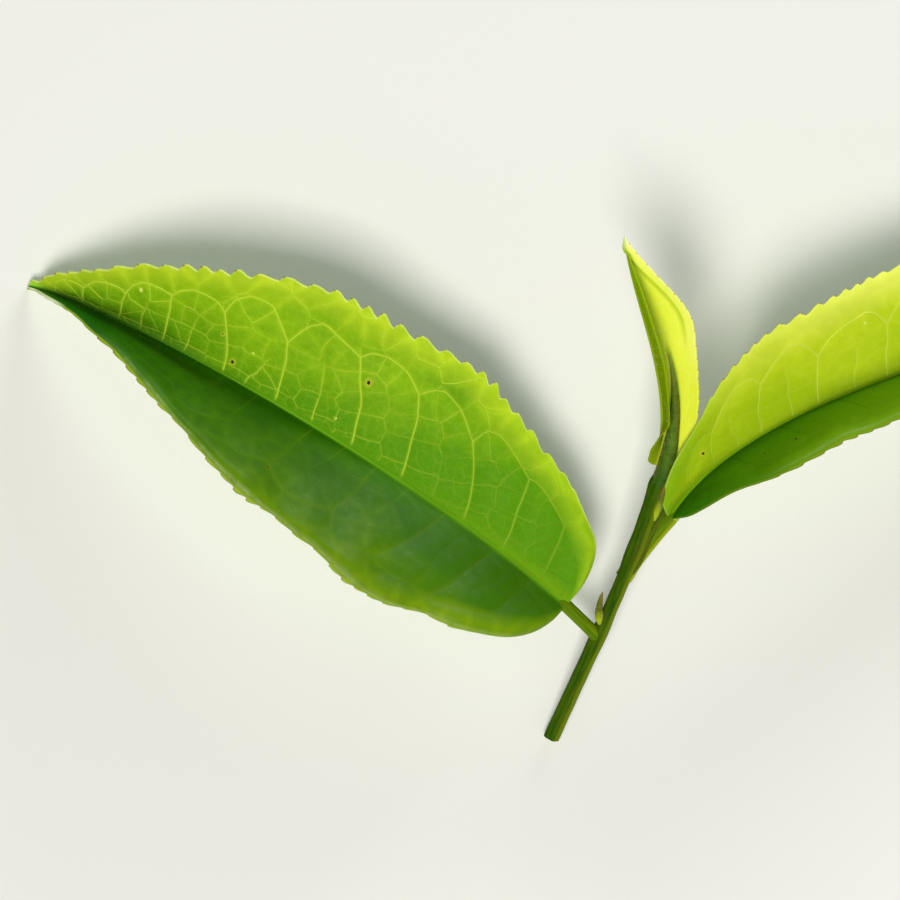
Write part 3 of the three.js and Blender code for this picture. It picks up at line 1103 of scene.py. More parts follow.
def leafSkin(name):
    # both open leaves have the same underside
    if name in bpy.data.materials:
        return bpy.data.materials[name]
    look = skins[name]
    material, tree, shader = newMaterial(
        name, Specular_IOR_Level=look["gloss"], Subsurface_Weight=look["glowThrough"],
        Subsurface_Radius=skins["glowReach"], Subsurface_Scale=skins["glowDepth"] * millimetre,
    )
    plan = field(tree, "plan", "Vector")
    share = field(tree, "share")
    edge = field(tree, "edge")
    across = field(tree, "across")
    out = addNode(tree, "ShaderNodeMath", {0: across}, operation="ABSOLUTE").outputs[0]
    lean = product(tree, across, look["litSide"])
    shaded = ranged(tree, lean, 0.2, -0.8)
    patchy = noise(tree, plan, 0.75, 2, 0.6)
    # darker green along the midrib: partly the rib's own colour, partly painted shade of the crease
    ribBandAndShade = ranged(tree, out, look["ribWidth"], 0.35 * look["ribWidth"], 0, 0.9)
    cells = {"Vector": plan, "Scale": skins["fineCells"], "Randomness": 0.9}
    net = addNode(tree, "ShaderNodeTexVoronoi", cells, feature="DISTANCE_TO_EDGE").outputs["Distance"]
    netLine = ranged(tree, net, 0.0, 0.09, 1, 0)

    # from deep to blade green: lighter away from the midrib and darker towards the foot as painted light
    # and shade, with random tone from noise
    toneAndShade = total(
        tree, ranged(tree, out, 1, 11, -0.1, 0.75),
        ranged(tree, noise(tree, plan, 0.11, 3, 0.55), 0.3, 0.7, -0.2, 0.4),
        ranged(tree, share, 0.05, 0.5, -0.8, 0.05),
    )
    base = mixed(tree, toneAndShade, look["deep"], look["blade"])
    layers = [(ranged(tree, patchy, 0.35, 0.75, 0, 0.35), look["deep"])]
    layers += marginLayers(tree, look, share, edge)
    layers += veinLayers(tree, look, share, lean, netLine)
    layers += creaseLayers(tree, look, share, out, lean, shaded, ribBandAndShade)
    layers += rimLayers(tree, look, share, edge, lean, shaded, patchy)
    layers += speckLayers(tree, look, plan)
    for shown, tint, *blend in layers:
        base = mixed(tree, shown, base, tint, *blend)
    tree.links.new(base, shader.inputs["Base Color"])

    rough = total(
        tree, ranged(tree, patchy, 0.3, 0.7, *look["roughness"]),
        ranged(tree, lean, -0.3, 0.3, 0, look["litRoughness"]), product(tree, ribBandAndShade, 0.3),
    )
    tree.links.new(rough, shader.inputs["Roughness"])
    grain = noise(tree, plan, 7.0, 2, 0.5)
    height = total(tree, product(tree, netLine, -0.5), product(tree, grain, 0.4))
    addBump(tree, shader, height, skins["reliefHeight"] * millimetre)
    return material


# Each function below gives layers of a leaf's colour, painted light and shade among them, from the lowest
# up: how far one covers, its tint and how it blends

def marginLayers(tree, look, share, edge):
    # a paler band along the margin: partly the leaf's own paler edge, partly painted glow of light
    # through the lit margin
    paleAndGlowingMargin = product(
        tree, ranged(tree, edge, look["glow"], 0.0), ranged(tree, share, *look["glowFrom"]),
        look["glowShow"],
    )
    atFoot = product(
        tree, ranged(tree, share, 0.3, 0.1, 0, look["footShow"]), ranged(tree, edge, 3.6, 0.8),
    )
    return [(paleAndGlowingMargin, look["margin"]), (atFoot, look["foot"])]


def veinLayers(tree, look, share, lean, netLine):
    lines = [field(tree, key) for key in ("cord", "veins", "cells", "fine")] + [netLine]
    layers = [(product(tree, field(tree, "pillow"), 0.25 * look["veinShow"]), look["deep"])]
    shown = product(
        tree, ranged(tree, share, 0.06, 0.42, 0.3 * look["veinShow"], look["veinShow"]),
        ranged(tree, share, 0.84, 0.97, 1, 0.4),
    )
    for line, lit, shaded in reversed(list(zip(lines, skins["veinShow"], skins["shadedShow"]))):
        clear = ranged(tree, lean, -0.4, 0.4, shaded * lit, lit)
        layers.append((product(tree, line, clear, shown), look["vein"]))
    return layers


def creaseLayers(tree, look, share, out, lean, shaded, ribBandAndShade):
    ridge = product(
        tree, ranged(tree, lean, 2.2, 0.7), ranged(tree, lean, -0.2, 0.1),
        ranged(tree, share, 0.32, 0.04, 0, 0.8),
    )
    ribShown = product(
        tree, ranged(tree, share, 0.1, 0.55, *look["lineShow"]), ranged(tree, out, 0.3, 0.1),
    )
    # painted light: bright green near the midrib on the lit half towards the tip, where the fold's shade
    # falls
    paintedCreaseLight = product(
        tree, ranged(tree, out, 1.6, 0.4), ranged(tree, share, 0.6, 0.85),
        ranged(tree, lean, -0.1, 0.1, 0, look["creaseLight"]),
    )
    # painted light and shade beside the midrib on the shaded half: the lower leaf's is brightened, the
    # upper leaf's darkened to a deeper green
    paintedCreaseTint = product(
        tree, shaded, ranged(tree, out, 0.4, look["paintedCreaseReach"], 1, 0),
        ranged(tree, share, 0.15, 0.65, *look["paintedCreaseShow"]),
    )
    # painted shade: the shaded half's colour is multiplied darker, by a tint that changes from foot to
    # tip
    shade = mixed(tree, ranged(tree, share, 0.05, 0.8), look["shade"], look["shadeTip"])
    return [
        (ribBandAndShade, look["rib"]),
        (ridge, look["ridge"]),
        # painted shade: the valley inside the young leaf's right margin is coloured darker
        (field(tree, "gutter"), look["rib"]),
        (ribShown, look["ribLine"]),
        (ranged(tree, share, 0.93, 0.99), look["tip"]),
        (ranged(tree, field(tree, "halo"), 0.2, 0.8, 0, 0.45), skins["halo"]),
        (paintedCreaseLight, skins["creaseLight"]),
        (shaded, shade, "MULTIPLY"),
        (paintedCreaseTint, look["crease"], "MULTIPLY"),
    ]


def rimLayers(tree, look, share, edge, lean, shaded, patchy):
    at, reach, strength = look["sheenAt"]
    start, full, fading, end = look["sheenRange"]
    # painted sheen: a paler grey-green band inside the shaded half's margin stands in for a glossy
    # reflection
    paintedSheen = product(
        tree, product(tree, ranged(tree, edge, at - reach, at), ranged(tree, edge, at + reach, at)),
        ranged(tree, patchy, 0.35, 0.6, 0.4 * strength, strength),
        product(tree, ranged(tree, share, start, full), ranged(tree, share, end, fading)), shaded,
    )
    rimLine = product(tree, ranged(tree, edge, 0.28, 0.05, 0, look["rimShow"]), shaded)
    # painted highlight: a near white strip along the shaded half's margin close to the tip
    pale = product(
        tree, ranged(tree, edge, 0.5, 0.3), ranged(tree, share, 0.86, 0.89, 0, look["tipLightShow"]), shaded,
    )
    # painted highlight: a thin pale line along the toothed rim of the lit half
    paintedRimHighlight = product(
        tree, ranged(tree, field(tree, "rim"), 0.28, 0.06), look["rimLight"],
        ranged(tree, lean, -0.3, 0.3),
    )
    return [
        (paintedSheen, look["sheenTint"]),
        (rimLine, look["rim"]),
        (pale, skins["paintedTipLight"]),
        (paintedRimHighlight, skins["rimLight"]),
    ]


def speckLayers(tree, look, plan):
    dots = skins["dots"]
    strewn = {"Vector": plan, "Scale": dots["scale"], "Randomness": 1.0}
    strewn = addNode(tree, "ShaderNodeTexVoronoi", strewn)
    chance = addNode(tree, "ShaderNodeSeparateColor", {0: strewn.outputs["Color"]}).outputs
    small = ranged(tree, strewn.outputs["Distance"], dots["size"], 0.3 * dots["size"])
    dark = product(tree, small, ranged(tree, chance[0], 0.78, 0.95, 0, dots["dark"]))
    light = product(tree, small, ranged(tree, chance[1], 0.6, 0.9, 0, dots["pale"]))
    return [
        (dark, look["deep"], "MULTIPLY"),
        (light, skins["dot"]),
        (ranged(tree, field(tree, "dot"), 0.1, 0.6, 0, 0.7), skins["dot"]),
        (ranged(tree, field(tree, "speck"), 0.3, 0.5), skins["speck"]),
        (ranged(tree, field(tree, "gland"), 0.25, 0.7, 0, 0.8), skins["gland"]),
    ]


leafLower = buildBlade(lowerLeaf, "lowerFace", "openBack")
leafUpper = buildBlade(upperLeaf, "upperFace", "openBack")
leafYoung = buildBlade(youngLeaf, "youngFace", "youngBack")


# Growing things by geometry nodes

def newTree(name, inputs):
    tree = bpy.data.node_groups.new(name, "GeometryNodeTree")
    for key, kind in inputs.items():
        tree.interface.new_socket(name=key, in_out="INPUT", socket_type="NodeSocket" + kind)
    tree.interface.new_socket(name="Geometry", in_out="OUTPUT", socket_type="NodeSocketGeometry")
    given = addNode(tree, "NodeGroupInput").outputs
    return tree, given, addNode(tree, "NodeGroupOutput").inputs[0]


def namedValue(tree, name, kind="FLOAT"):
    return addNode(tree, "GeometryNodeInputNamedAttribute", {"Name": name}, data_type=kind).outputs[0]


def vectorMath(tree, operation, inputs):
    return addNode(tree, "ShaderNodeVectorMath", inputs, operation=operation).outputs[0]


def varied(tree, low, high, seed):
    numbers = {2: low, 3: high, "Seed": seed}
    return addNode(tree, "FunctionNodeRandomValue", numbers, data_type="FLOAT").outputs[1]


def dealtOut(tree, points, shape, toward, sizes):
    # a copy of the shape at each point, turned along a vector
    turned = addNode(tree, "FunctionNodeAlignRotationToVector", {"Vector": toward}, axis="Z").outputs[0]
    scale = addNode(tree, "ShaderNodeCombineXYZ", dict(zip("XYZ", sizes))).outputs[0]
    inputs = {"Points": points, "Instance": shape, "Rotation": turned, "Scale": scale}
    return addNode(tree, "GeometryNodeInstanceOnPoints", inputs).outputs[0]


def finishTree(tree, shape, given, result):
    real = addNode(tree, "GeometryNodeRealizeInstances", {0: shape}).outputs[0]
    inputs = {"Geometry": real, "Material": given["Material"]}
    tree.links.new(addNode(tree, "GeometryNodeSetMaterial", inputs).outputs[0], result)
    return tree


def grown(name, source, tree, values):
    modifier = source.modifiers.new("grow", "NODES")
    modifier.node_group = tree
    for item in tree.interface.items_tree:
        if item.item_type == "SOCKET" and item.in_out == "INPUT" and item.name in values:
            modifier[item.identifier] = values[item.name]
    graph = bpy.context.evaluated_depsgraph_get()
    mesh = bpy.data.meshes.new_from_object(source.evaluated_get(graph))
    source.modifiers.remove(modifier)
    return addObject(name, mesh)


def grownFrom(name, points, edges, fields, tree, values):
    # grow a piece from loose points or lines, and drop those
    source = addObject(name + "Source", newMesh(name + "Source", points, edges, [], fields))
    made = grown(name, source, tree, values)
    bpy.data.objects.remove(source)
    return made


# Stem and petioles: one tree sweeps a round section along a line of points

limbSkins = {
    "stemSkin": {
        "dark": (32, 70, 0), "light": (68, 96, 4), "streak": (100, 70, 18),
        "flank": (120, 138, 14), "streakShow": 0.3, "paintedLitFlankShow": 0.8,
    },
    "shoulderSkin": {
        "dark": (50, 84, 6), "light": (80, 104, 14), "streak": (116, 74, 26),
        "flank": (90, 110, 14), "streakShow": 0.6, "paintedLitFlankShow": 0.3,
    },
    "petioleSkin": {
        "dark": (66, 102, 4), "light": (102, 132, 8), "streak": (110, 90, 20),
        "flank": (176, 188, 22), "streakShow": 0.2, "paintedLitFlankShow": 0.85,
    },
    "cut": (186, 198, 120),
    "toPaintedLight": np.array([0.86, -0.5, 0.0]),
    "alongScale": 0.12,
    "reliefHeight": 0.04,
}

shoulder = {
    "path": [[20.8, -16.0, 7.5], [23.2, -11.6, 8.9], [26.4, -6.2, 9.4]],
    "radius": 0.9, "blunt": 3.0, "sides": 48, "steps": 120, "ribs": 3, "ribHeight": 0.01, "length": 8.0,
}

petioles = {
    "sides": 48,
    "steps": 120,
    "onwardSteps": 30,
    "length": 8.0,
    # how much thicker it gets towards its foot, and over which share of its length
    "flare": {"leaf_lower": [0.2, 0.16], "leaf_upper": [0.2, 0.16], "young_leaf": [1.0, 0.6]},
    "foot": 0.7,          # factor on the radius of its first ring, inside the stem
    "overlap": 0.09,      # share of the midrib along which it runs on under the blade
    "thinner": 0.98,      # its radius there, in the midrib's
    "sink": [0.4, 1.25],  # its depth under the blade at both ends of that stretch, in radii
    "sinkBy": 0.3,
    "ribs": 3,
    "ribHeight": 0.02,
}


def limbSkin(name):
    look = limbSkins[name]
    material, tree, shader = newMaterial(name, Roughness=0.5, Specular_IOR_Level=0.03)
    skin = field(tree, "skin", "Vector")
    streaks = noise(tree, skin, 2.4, 3, 0.6)
    red = noise(tree, skin, 1.1, 2, 0.5)
    base = mixed(tree, ranged(tree, streaks, 0.3, 0.7), look["dark"], look["light"])
    base = mixed(tree, ranged(tree, red, 0.55, 0.7, 0, look["streakShow"]), base, look["streak"])
    # painted light: the side that faces one fixed direction is made lighter and yellower
    flank = ranged(tree, field(tree, "flank"), 0.35, 0.9, 0, look["paintedLitFlankShow"])
    base = mixed(tree, flank, base, look["flank"])
    base = mixed(tree, field(tree, "cut"), base, limbSkins["cut"])
    tree.links.new(base, shader.inputs["Base Color"])
    grain = noise(tree, objectPlace(tree), 9000, 2, 0.6)
    height = total(tree, streaks, product(tree, grain, 0.4))
    addBump(tree, shader, height, limbSkins["reliefHeight"] * millimetre)
    return material


def limbTree():
    inputs = {
        "Line": "Geometry", "Sides": "Int", "Ribs": "Float", "Rib Height": "Float",
        "Material": "Material",
    }
    tree, given, result = newTree("limb", inputs)
    curve = addNode(tree, "GeometryNodeMeshToCurve", {0: given["Line"]}).outputs[0]
    ring = {"Resolution": given["Sides"], "Radius": 1.0}
    ring = addNode(tree, "GeometryNodeCurvePrimitiveCircle", ring).outputs[0]
    around = addNode(tree, "GeometryNodeSplineParameter").outputs["Factor"]
    marked = addNode(
        tree, "GeometryNodeStoreNamedAttribute",
        {"Geometry": ring, "Name": "around", "Value": around}, data_type="FLOAT", domain="POINT",
    ).outputs[0]
    sweep = {
        "Curve": curve, "Profile Curve": marked, "Scale": namedValue(tree, "thick"), "Fill Caps": True,
    }
    swept = addNode(tree, "GeometryNodeCurveToMesh", sweep).outputs[0]
    angle = product(tree, namedValue(tree, "around"), 2 * math.pi, given["Ribs"])
    wave = addNode(tree, "ShaderNodeMath", {0: angle}, operation="COSINE").outputs[0]
    normal = addNode(tree, "GeometryNodeInputNormal").outputs[0]
    height = product(tree, wave, given["Rib Height"])
    offset = vectorMath(tree, "SCALE", {0: normal, "Scale": height})
    ribbed = addNode(tree, "GeometryNodeSetPosition", {"Geometry": swept, "Offset": offset}).outputs[0]
    return finishTree(tree, ribbed, given, result)


def limbValues(rule, material):
    return {
        "Sides": rule["sides"], "Ribs": float(rule["ribs"]), "Rib Height": rule["ribHeight"] * millimetre,
        "Material": material,
    }


def limb(name, rule, centres, radii, share, material, cutEnd=-1):
    # sweep a limb and store what its skin needs, with the points up to the share cutEnd on the cut
    edges = [(k, k + 1) for k in range(len(centres) - 1)]
    fields = {"thick": radii * millimetre, "share": share}
    made = grownFrom(name, centres, edges, fields, limbs, limbValues(rule, material))
    mesh = made.data
    count = len(mesh.vertices)
    around, along = np.zeros(count, np.float32), np.zeros(count, np.float32)
    mesh.attributes["around"].data.foreach_get("value", around)
    mesh.attributes["share"].data.foreach_get("value", along)
    normals = np.zeros(count * 3, np.float32)
    mesh.vertices.foreach_get("normal", normals)
    angle = around * 2 * math.pi
    upwards = along * rule["length"] * limbSkins["alongScale"]
    store(mesh, "skin", np.stack([np.cos(angle), np.sin(angle), upwards], axis=1))
    # how far each point faces the fixed direction of the painted light
    store(mesh, "flank", normals.reshape(-1, 3) @ limbSkins["toPaintedLight"])
    store(mesh, "cut", along <= cutEnd)
    for face in mesh.polygons:
        face.use_smooth = len(face.vertices) == 4
    return made


def buildStem():
    share = np.sort(np.concatenate([np.linspace(0, 1, stem["steps"] + 1), stem["bevelRings"]]))
    slow, fast = stem["unevenRates"]
    radii = stemRadius(share) * (1 + stem["unevenness"] * np.sin(share * slow) * np.sin(share * fast + 1))
    fromCut = share * stem["length"]
    fromTop = (1 - share) * stem["length"]
    radii *= 1 - stem["bevelDepth"] * np.clip(1 - fromCut / stem["cutBevel"], 0, 1) ** 2
    radii *= np.sqrt(np.clip(1 - np.clip(1 - fromTop / stem["dome"], 0, 0.98) ** 2, 0, 1))
    extra, low, high = stem["fuller"]
    radii *= 1 + extra * smooth(share, low, high)
    centres = bezier(stem["path"], share)
    piece = limb("stemLimb", stem, centres, radii, share, limbSkin("stemSkin"), stem["cutEnd"])
    dress(piece, "green_stem", "stem")


def buildPetiole(leaf, material):
    # along the petiole, then on under the blade while it thins into the midrib
    first = np.linspace(0, 1, petioles["steps"])
    onward = np.linspace(0, petioles["overlap"], petioles["onwardSteps"])[1:]
    thick = leaf["ribRadius"][0]
    flare, flareReach = petioles["flare"][leaf["node"]]
    centre, along, right, up = sectionAt(leaf["midrib"], onward)
    depth = lerp(*petioles["sink"], smooth(onward, 0, petioles["sinkBy"] * petioles["overlap"]))
    lowered = centre - up * (depth * thick)[:, None]
    ending = np.sqrt(np.clip(1 - (onward / petioles["overlap"]) ** 2, 0.0004, 1))
    centre, along, right, up = sectionAt(leaf["petiole"], first)
    sunk = petioles["sink"][0] * thick * smooth(first, 0, 1)
    centres = np.concatenate([centre - up * sunk[:, None], lowered])
    flared = thick * (1 + flare * bump(first, 0, flareReach))
    radii = np.concatenate([flared, thick * petioles["thinner"] * ending])
    radii[0] *= petioles["foot"]
    share = np.linspace(0, 1, len(radii))
    piece = limb(leaf["name"] + "Petiole", petioles, centres, radii, share, material)
    dress(piece, leaf["slot"], leaf["node"])


def buildShoulder():
    # the swollen node that joins the upper petiole to the stem as far as the side bud
    share = np.linspace(0, 1, shoulder["steps"])
    radii = shoulder["radius"] * np.sqrt(1 - (0.999 * np.abs(2 * share - 1)) ** shoulder["blunt"])
    centres = bezier(shoulder["path"], share)
    dress(limb("stemShoulder", shoulder, centres, radii, share, limbSkin("shoulderSkin")), "green_stem")


limbs = limbTree()
buildStem()
buildShoulder()
petioleSkin = limbSkin("petioleSkin")
for leaf in (lowerLeaf, upperLeaf, youngLeaf):
    buildPetiole(leaf, petioleSkin)
print("stem and petioles ready")


# Open leaves: the veins and the walls of the larger cells as slim cords that lie in the skin

cords = {
    "sides": 6,
    "ribs": 0,
    "ribHeight": 0.0,
    "slim": [0.56, 0.36],   # a vein's cord in the half widths of its soft line, lit and shaded
    "wall": [0.042, 0.05],
    "wallShow": [0.75, 1.1],    # inside the arches and beyond them
    "wallLeast": {"leaf_lower": 0.4, "leaf_upper": 1.0},   # weaker walls get no cord
    "from": {"leaf_lower": [-0.2, 0.1], "leaf_upper": [0.06, 0.3]},   # where the veins begin to show
    "rise": [0.03, 0.01],   # height of its middle over the skin, lit and shaded
    "beyond": [0.5, 0.85],      # shares of the half width between which the arches end
    "stretch": 0.7,
    "stretches": [2, 12],
    "ribGap": 0.34,
    "edgeGap": 0.22,
    "footGap": 0.5,
    "end": 0.985,
}


def cellEdges(leaf, centres):
    # the straight walls between cells, each with the numbers of its two cells
    beyond = centres[centres[:, 1] < 1.5 * leaf["cellSize"]] * [1, -1]
    spots = np.concatenate([centres, beyond])
    found = delaunay_2d_cdt([Vector(spot) for spot in spots], [], [], 0, 0.0001)
    own = [names[0] for names in found[3]]
    corners = np.array([tuple(spot) for spot in found[0]])[np.array(found[2])]
    first = corners[:, 1] - corners[:, 0]
    second = corners[:, 2] - corners[:, 0]
    twice = 2 * (first[:, 0] * second[:, 1] - first[:, 1] * second[:, 0])
    first2 = (first**2).sum(axis=1)[:, None]
    second2 = (second**2).sum(axis=1)[:, None]
    reach = second[:, ::-1] * first2 - first[:, ::-1] * second2
    middles = corners[:, 0] + reach * [1, -1] / twice[:, None]
    beside = {}
    for index, triangle in enumerate(found[2]):
        for k in range(3):
            pair = tuple(sorted((own[triangle[k]], own[triangle[k - 1]])))
            beside.setdefault(pair, []).append(middles[index])
    return [(pair, ends) for pair, ends in beside.items() if len(ends) == 2]


def cordLines(leaf, side):
    # lines on the plan of a half blade, each with its radii and how strongly it shows
    veins, (large, small) = cellLayout(leaf, side)
    isShaded = side != leaf["litSide"]
    lines = []
    for line, widths in veinRoutes(leaf, side):
        lines.append((line, np.linspace(*widths, len(line)) * cords["slim"][isShaded], 1.0))
    for pair, (start, end) in cellEdges(leaf, large):
        show = wallStrength(*pair, faintestWall["large"])
        if isShaded or show < cords["wallLeast"][leaf["node"]]:
            continue
        count = np.ceil(np.hypot(*(end - start)) / cords["stretch"])
        count = int(np.clip(count, *cords["stretches"]))
        line = lerp(start, end, np.linspace(0, 1, count + 1)[:, None])
        away = nearestVein(line, *veins)[0]
        line = line - swayAt(leaf, line, away)
        radius = np.full(len(line), lerp(*cords["wall"], show))
        share = np.clip(line[:, 0].mean() / lengthAt(leaf, 1.0), 0, 1)
        reach = line[:, 1].mean() / marginAt(leaf, side, np.array([share]))[0]
        lines.append((line, radius, show * lerp(*cords["wallShow"], smooth(reach, *cords["beyond"]))))
    return lines


def buildCords(blade, leaf):
    lengths = lengthAt(leaf, denseShares)
    edges, layers, count = [], [], 0
    for side in (-1, 1):
        lines = cordLines(leaf, side)
        spots = np.concatenate([line for line, radii, show in lines])
        radii = np.concatenate([radii for line, radii, show in lines])
        shows = np.concatenate([np.full(len(line), show) for line, radii, show in lines])
        share = np.interp(spots[:, 0], lengths, denseShares)
        across = side * np.maximum(spots[:, 1], 0.01)
        fields = bladeFields(leaf, share, across)
        upper = bladeThickness(leaf, share, across, fields)[0]
        clear = (fields["edge"] > cords["edgeGap"]) & (spots[:, 1] > cords["ribGap"])
        clear &= (spots[:, 0] > cords["footGap"]) & (share < cords["end"])
        start = 0
        for line, own, show in lines:
            for k in range(start, start + len(line) - 1):
                if clear[k] and clear[k + 1]:
                    edges.append((count + k, count + k + 1))
            start += len(line)
        rise = cords["rise"][side != leaf["litSide"]]
        layers.append({
            "points": bladeSurface(leaf, share, across, fields, upper + rise),
            "thick": radii * millimetre, "share": share, "across": across, "edge": fields["edge"],
            "rim": fields["edge"], "cord": shows * smooth(share, *cords["from"][leaf["node"]]),
            "plan": np.stack([fields["length"], across, np.zeros(len(share))], axis=1),
        })
        count += len(spots)
    both = {key: np.concatenate([layer[key] for layer in layers]) for key in layers[0]}
    points = both.pop("points")
    values = limbValues(cords, blade.data.materials[0])
    dress(grownFrom(leaf["name"] + "Veins", points, edges, both, limbs, values), "open_leaf")


buildCords(leafLower, lowerLeaf)
buildCords(leafUpper, upperLeaf)
print("vein cords ready")


# Buds: slim spears of rolled scales

buds = {
    "terminal_bud": {
        "name": "terminalBud", "skin": "topBud", "steps": 200,
        "path": [[24.4, -5.4, 11.2], [25.9, -2.6, 12.4], [28.2, 5.2, 16.6], [25.5, 12.1, 19.8]],
        "radii": [0.8, 1.0, 1.05, 0.85, 0.66, 0.3, 0.02],
    },
    "axillary_bud_upper": {
        "name": "axillaryBudUpper", "skin": "sideBud", "steps": 110,
        "path": [[24.5, -8.5, 10.5], [25.1, -5.9, 12.1], [26.4, -2.8, 13.5]],
        "radii": [0.1, 0.56, 0.44, 0.34, 0.3, 0.02],
    },
    "axillary_bud_lower": {
        "name": "axillaryBudLower", "skin": "sideBud", "steps": 110,
        "path": [[18.1, -21.1, 6.6], [17.7, -19.1, 7.9], [18.4, -17.0, 9.0]],
        "radii": [0.1, 0.68, 0.52, 0.38, 0.32, 0.02],
    },
}

spear = {
    "sides": 64, "rowEase": 0.08, "scales": 2, "scaleStep": 0.14, "twist": 1.3,
    "stepsFrom": [0.05, 0.2], "stepsTo": [0.85, 1.0],
}

budSkins = {
    "topBud": {
        # the terminal bud's dark foot is painted shadow
        "foot": (46, 84, 4), "dark": (58, 90, 10), "light": (96, 124, 22),
        "edge": (128, 78, 36), "tip": (130, 146, 60),
    },
    "sideBud": {
        "foot": (164, 182, 20), "dark": (66, 84, 10), "light": (112, 116, 24),
        "edge": (126, 62, 30), "tip": (140, 120, 50),
    },
}


def budSkin(name):
    look = budSkins[name]
    material, tree, shader = newMaterial(name, Roughness=0.5, Specular_IOR_Level=0.12)
    share = field(tree, "share")
    where = objectPlace(tree)
    mottled = noise(tree, where, 900, 3, 0.6)
    base = mixed(tree, ranged(tree, mottled, 0.3, 0.7), look["dark"], look["light"])
    base = mixed(tree, ranged(tree, share, 0.5, 0.2, 0, 0.9), base, look["foot"])
    base = mixed(tree, ranged(tree, share, 0.7, 1.0, 0, 0.7), base, look["tip"])
    base = mixed(tree, ranged(tree, field(tree, "seam"), 0.86, 1.0, 0, 0.8), base, look["edge"])
    tree.links.new(base, shader.inputs["Base Color"])
    addBump(tree, shader, noise(tree, where, 7000, 2, 0.6), 0.03 * millimetre)
    return material


def buildBud(node, bud, material):
    sides = spear["sides"]
    rows = easedSteps(bud["steps"], spear["rowEase"])[1:-1]
    share = np.repeat(rows, sides)
    angle = np.tile(np.arange(sides) * 2 * math.pi / sides, len(rows))
    roll = (angle / (2 * math.pi) * spear["scales"] + spear["twist"] * share) % 1
    stepped = smooth(share, *spear["stepsFrom"]) * (1 - smooth(share, *spear["stepsTo"]))
    plain = bezier([[radius] for radius in bud["radii"]], share)[:, 0]
    radius = plain * (1 + spear["scaleStep"] * (roll - 0.5) * stepped)
    points = limbPoints(bud["path"], share, angle, radius)
    ends = bezier(bud["path"], np.array([0.0, 1.0]))
    foot, tip = len(points), len(points) + 1
    index = np.arange(len(points)).reshape(len(rows), sides)
    index = np.column_stack([index, index[:, 0]]).tolist()
    faces = [
        (low[j], low[j + 1], high[j + 1], high[j])
        for low, high in zip(index, index[1:]) for j in range(sides)
    ]
    faces += [(index[0][j + 1], index[0][j], foot) for j in range(sides)]
    faces += [(index[-1][j], index[-1][j + 1], tip) for j in range(sides)]
    allShares = np.concatenate([share, [0, 1]])
    along = sectionAt(bud["path"], allShares)[1]
    layers = {"share": allShares, "seam": np.concatenate([roll * stepped, [0, 0]]), "along": along}
    piece = makeMesh(bud["name"], np.concatenate([points, ends]), faces, [material], layers)
    dress(piece, "bud", node)
    return piece


budMaterials = {name: budSkin(name) for name in budSkins}
budPieces = [buildBud(node, bud, budMaterials[bud["skin"]]) for node, bud in buds.items()]
print("buds ready")


# Tooth glands and silvery hairs, dealt out by geometry nodes

glands = {
    "sizes": {"leaf_lower": 0.062, "leaf_upper": 0.05, "young_leaf": 0.04},
    "long": 2.2,
    "sides": 10,
    "rings": 7,
    "varied": [0.7, 1.2],
    "inside": 0.4,       # how far in the point lies from which a gland is turned outwards
    "forwards": 2.5,
    "seed": 3,
}

hairs = {
    "length": 0.3,
    "thick": 0.008,
    "lean": 1.4,
    "varied": [0.45, 1.0],
    "seed": 5,
    "density": {
        "youngLeafBlade": 0.8, "terminalBud": 8.0, "axillaryBudUpper": 12.0, "axillaryBudLower": 12.0,
    },
}


def glandTree():
    inputs = {
        "Points": "Geometry", "Size": "Float", "Long": "Float", "Sides": "Int", "Seed": "Int",
        "Material": "Material",
    }
    tree, given, result = newTree("toothGlands", inputs)
    ball = {"Segments": given["Sides"], "Rings": glands["rings"], "Radius": 1.0}
    ball = addNode(tree, "GeometryNodeMeshUVSphere", ball).outputs[0]
    ball = addNode(tree, "GeometryNodeSetShadeSmooth", {0: ball}).outputs[0]
    size = product(tree, varied(tree, *glands["varied"], given["Seed"]), given["Size"])
    sizes = (size, size, product(tree, size, given["Long"]))
    toward = namedValue(tree, "toward", "FLOAT_VECTOR")
    return finishTree(tree, dealtOut(tree, given["Points"], ball, toward, sizes), given, result)


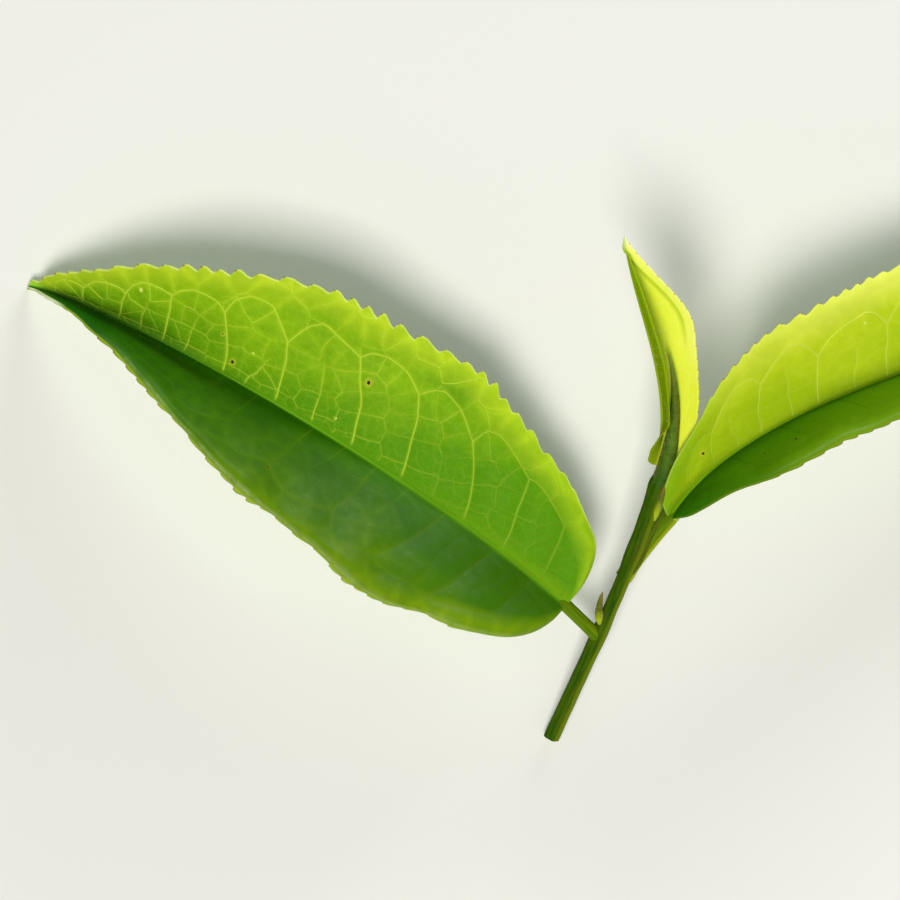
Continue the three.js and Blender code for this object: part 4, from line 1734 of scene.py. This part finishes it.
def hairTree():
    inputs = {
        "Skin": "Geometry", "Density": "Float", "Length": "Float", "Thick": "Float", "Lean": "Float",
        "Seed": "Int", "Material": "Material",
    }
    tree, given, result = newTree("silverHairs", inputs)
    strewn = {"Mesh": given["Skin"], "Density": given["Density"], "Seed": given["Seed"]}
    strewn = addNode(tree, "GeometryNodeDistributePointsOnFaces", strewn).outputs
    hair = {"Vertices": 3, "Radius Top": 0.1, "Radius Bottom": 1.0, "Depth": 1.0}
    hair = addNode(tree, "GeometryNodeMeshCone", hair).outputs[0]
    along = namedValue(tree, "along", "FLOAT_VECTOR")
    leaning = vectorMath(tree, "SCALE", {0: along, "Scale": given["Lean"]})
    toward = vectorMath(tree, "ADD", {0: leaning, 1: strewn["Normal"]})
    tall = product(tree, varied(tree, *hairs["varied"], given["Seed"]), given["Length"])
    sizes = (given["Thick"], given["Thick"], tall)
    return finishTree(tree, dealtOut(tree, strewn["Points"], hair, toward, sizes), given, result)


def plainSkin(name, tint, spread):
    # one tint with a little change in it
    material, tree, shader = newMaterial(name, Roughness=0.4)
    change = ranged(tree, noise(tree, objectPlace(tree), 4000), 0.3, 0.7, 1 - spread, 1 + spread)
    shade = addNode(tree, "ShaderNodeCombineColor", {0: change, 1: change, 2: change}).outputs[0]
    tree.links.new(mixed(tree, 1.0, tint, shade, "MULTIPLY"), shader.inputs["Base Color"])
    return material


def middleOf(leaf, share, across):
    return bladeSurface(leaf, share, across, bladeFields(leaf, share, across), np.zeros(len(share)))


def buildGlands(leaf, tree, material):
    size = glands["sizes"][leaf["node"]]
    points, toward = [], []
    for side in (-1, 1):
        tips, outs = toothTips(leaf, side)
        spots = middleOf(leaf, tips, side * outs)
        outwards = unit(spots - middleOf(leaf, tips, side * (outs - glands["inside"])))
        toward.append(unit(outwards + sectionAt(leaf["midrib"], tips)[1] * glands["forwards"]))
        points.append(spots - outwards * size)
    values = {
        "Size": size * millimetre, "Long": glands["long"], "Sides": glands["sides"],
        "Seed": glands["seed"], "Material": material,
    }
    fields = {"toward": np.concatenate(toward)}
    piece = grownFrom(leaf["name"] + "Glands", np.concatenate(points), [], fields, tree, values)
    dress(piece, leaf["slot"])


def buildHairs(skin, slot, tree, material):
    values = {
        "Density": hairs["density"][skin.name] / millimetre**2, "Length": hairs["length"] * millimetre,
        "Thick": hairs["thick"] * millimetre, "Lean": hairs["lean"], "Seed": hairs["seed"],
        "Material": material,
    }
    dress(grown(skin.name + "Hairs", skin, tree, values), slot)


glandShape = glandTree()
glandSkin = plainSkin("glandSkin", skins["gland"], 0.25)
for leaf in (lowerLeaf, upperLeaf, youngLeaf):
    buildGlands(leaf, glandShape, glandSkin)

hairShape = hairTree()
hairSkin = plainSkin("hairSkin", (226, 230, 196), 0.06)
buildHairs(leafYoung, "young_leaf", hairShape, hairSkin)
for piece in budPieces:
    buildHairs(piece, "bud", hairShape, hairSkin)
print("glands and hairs ready")
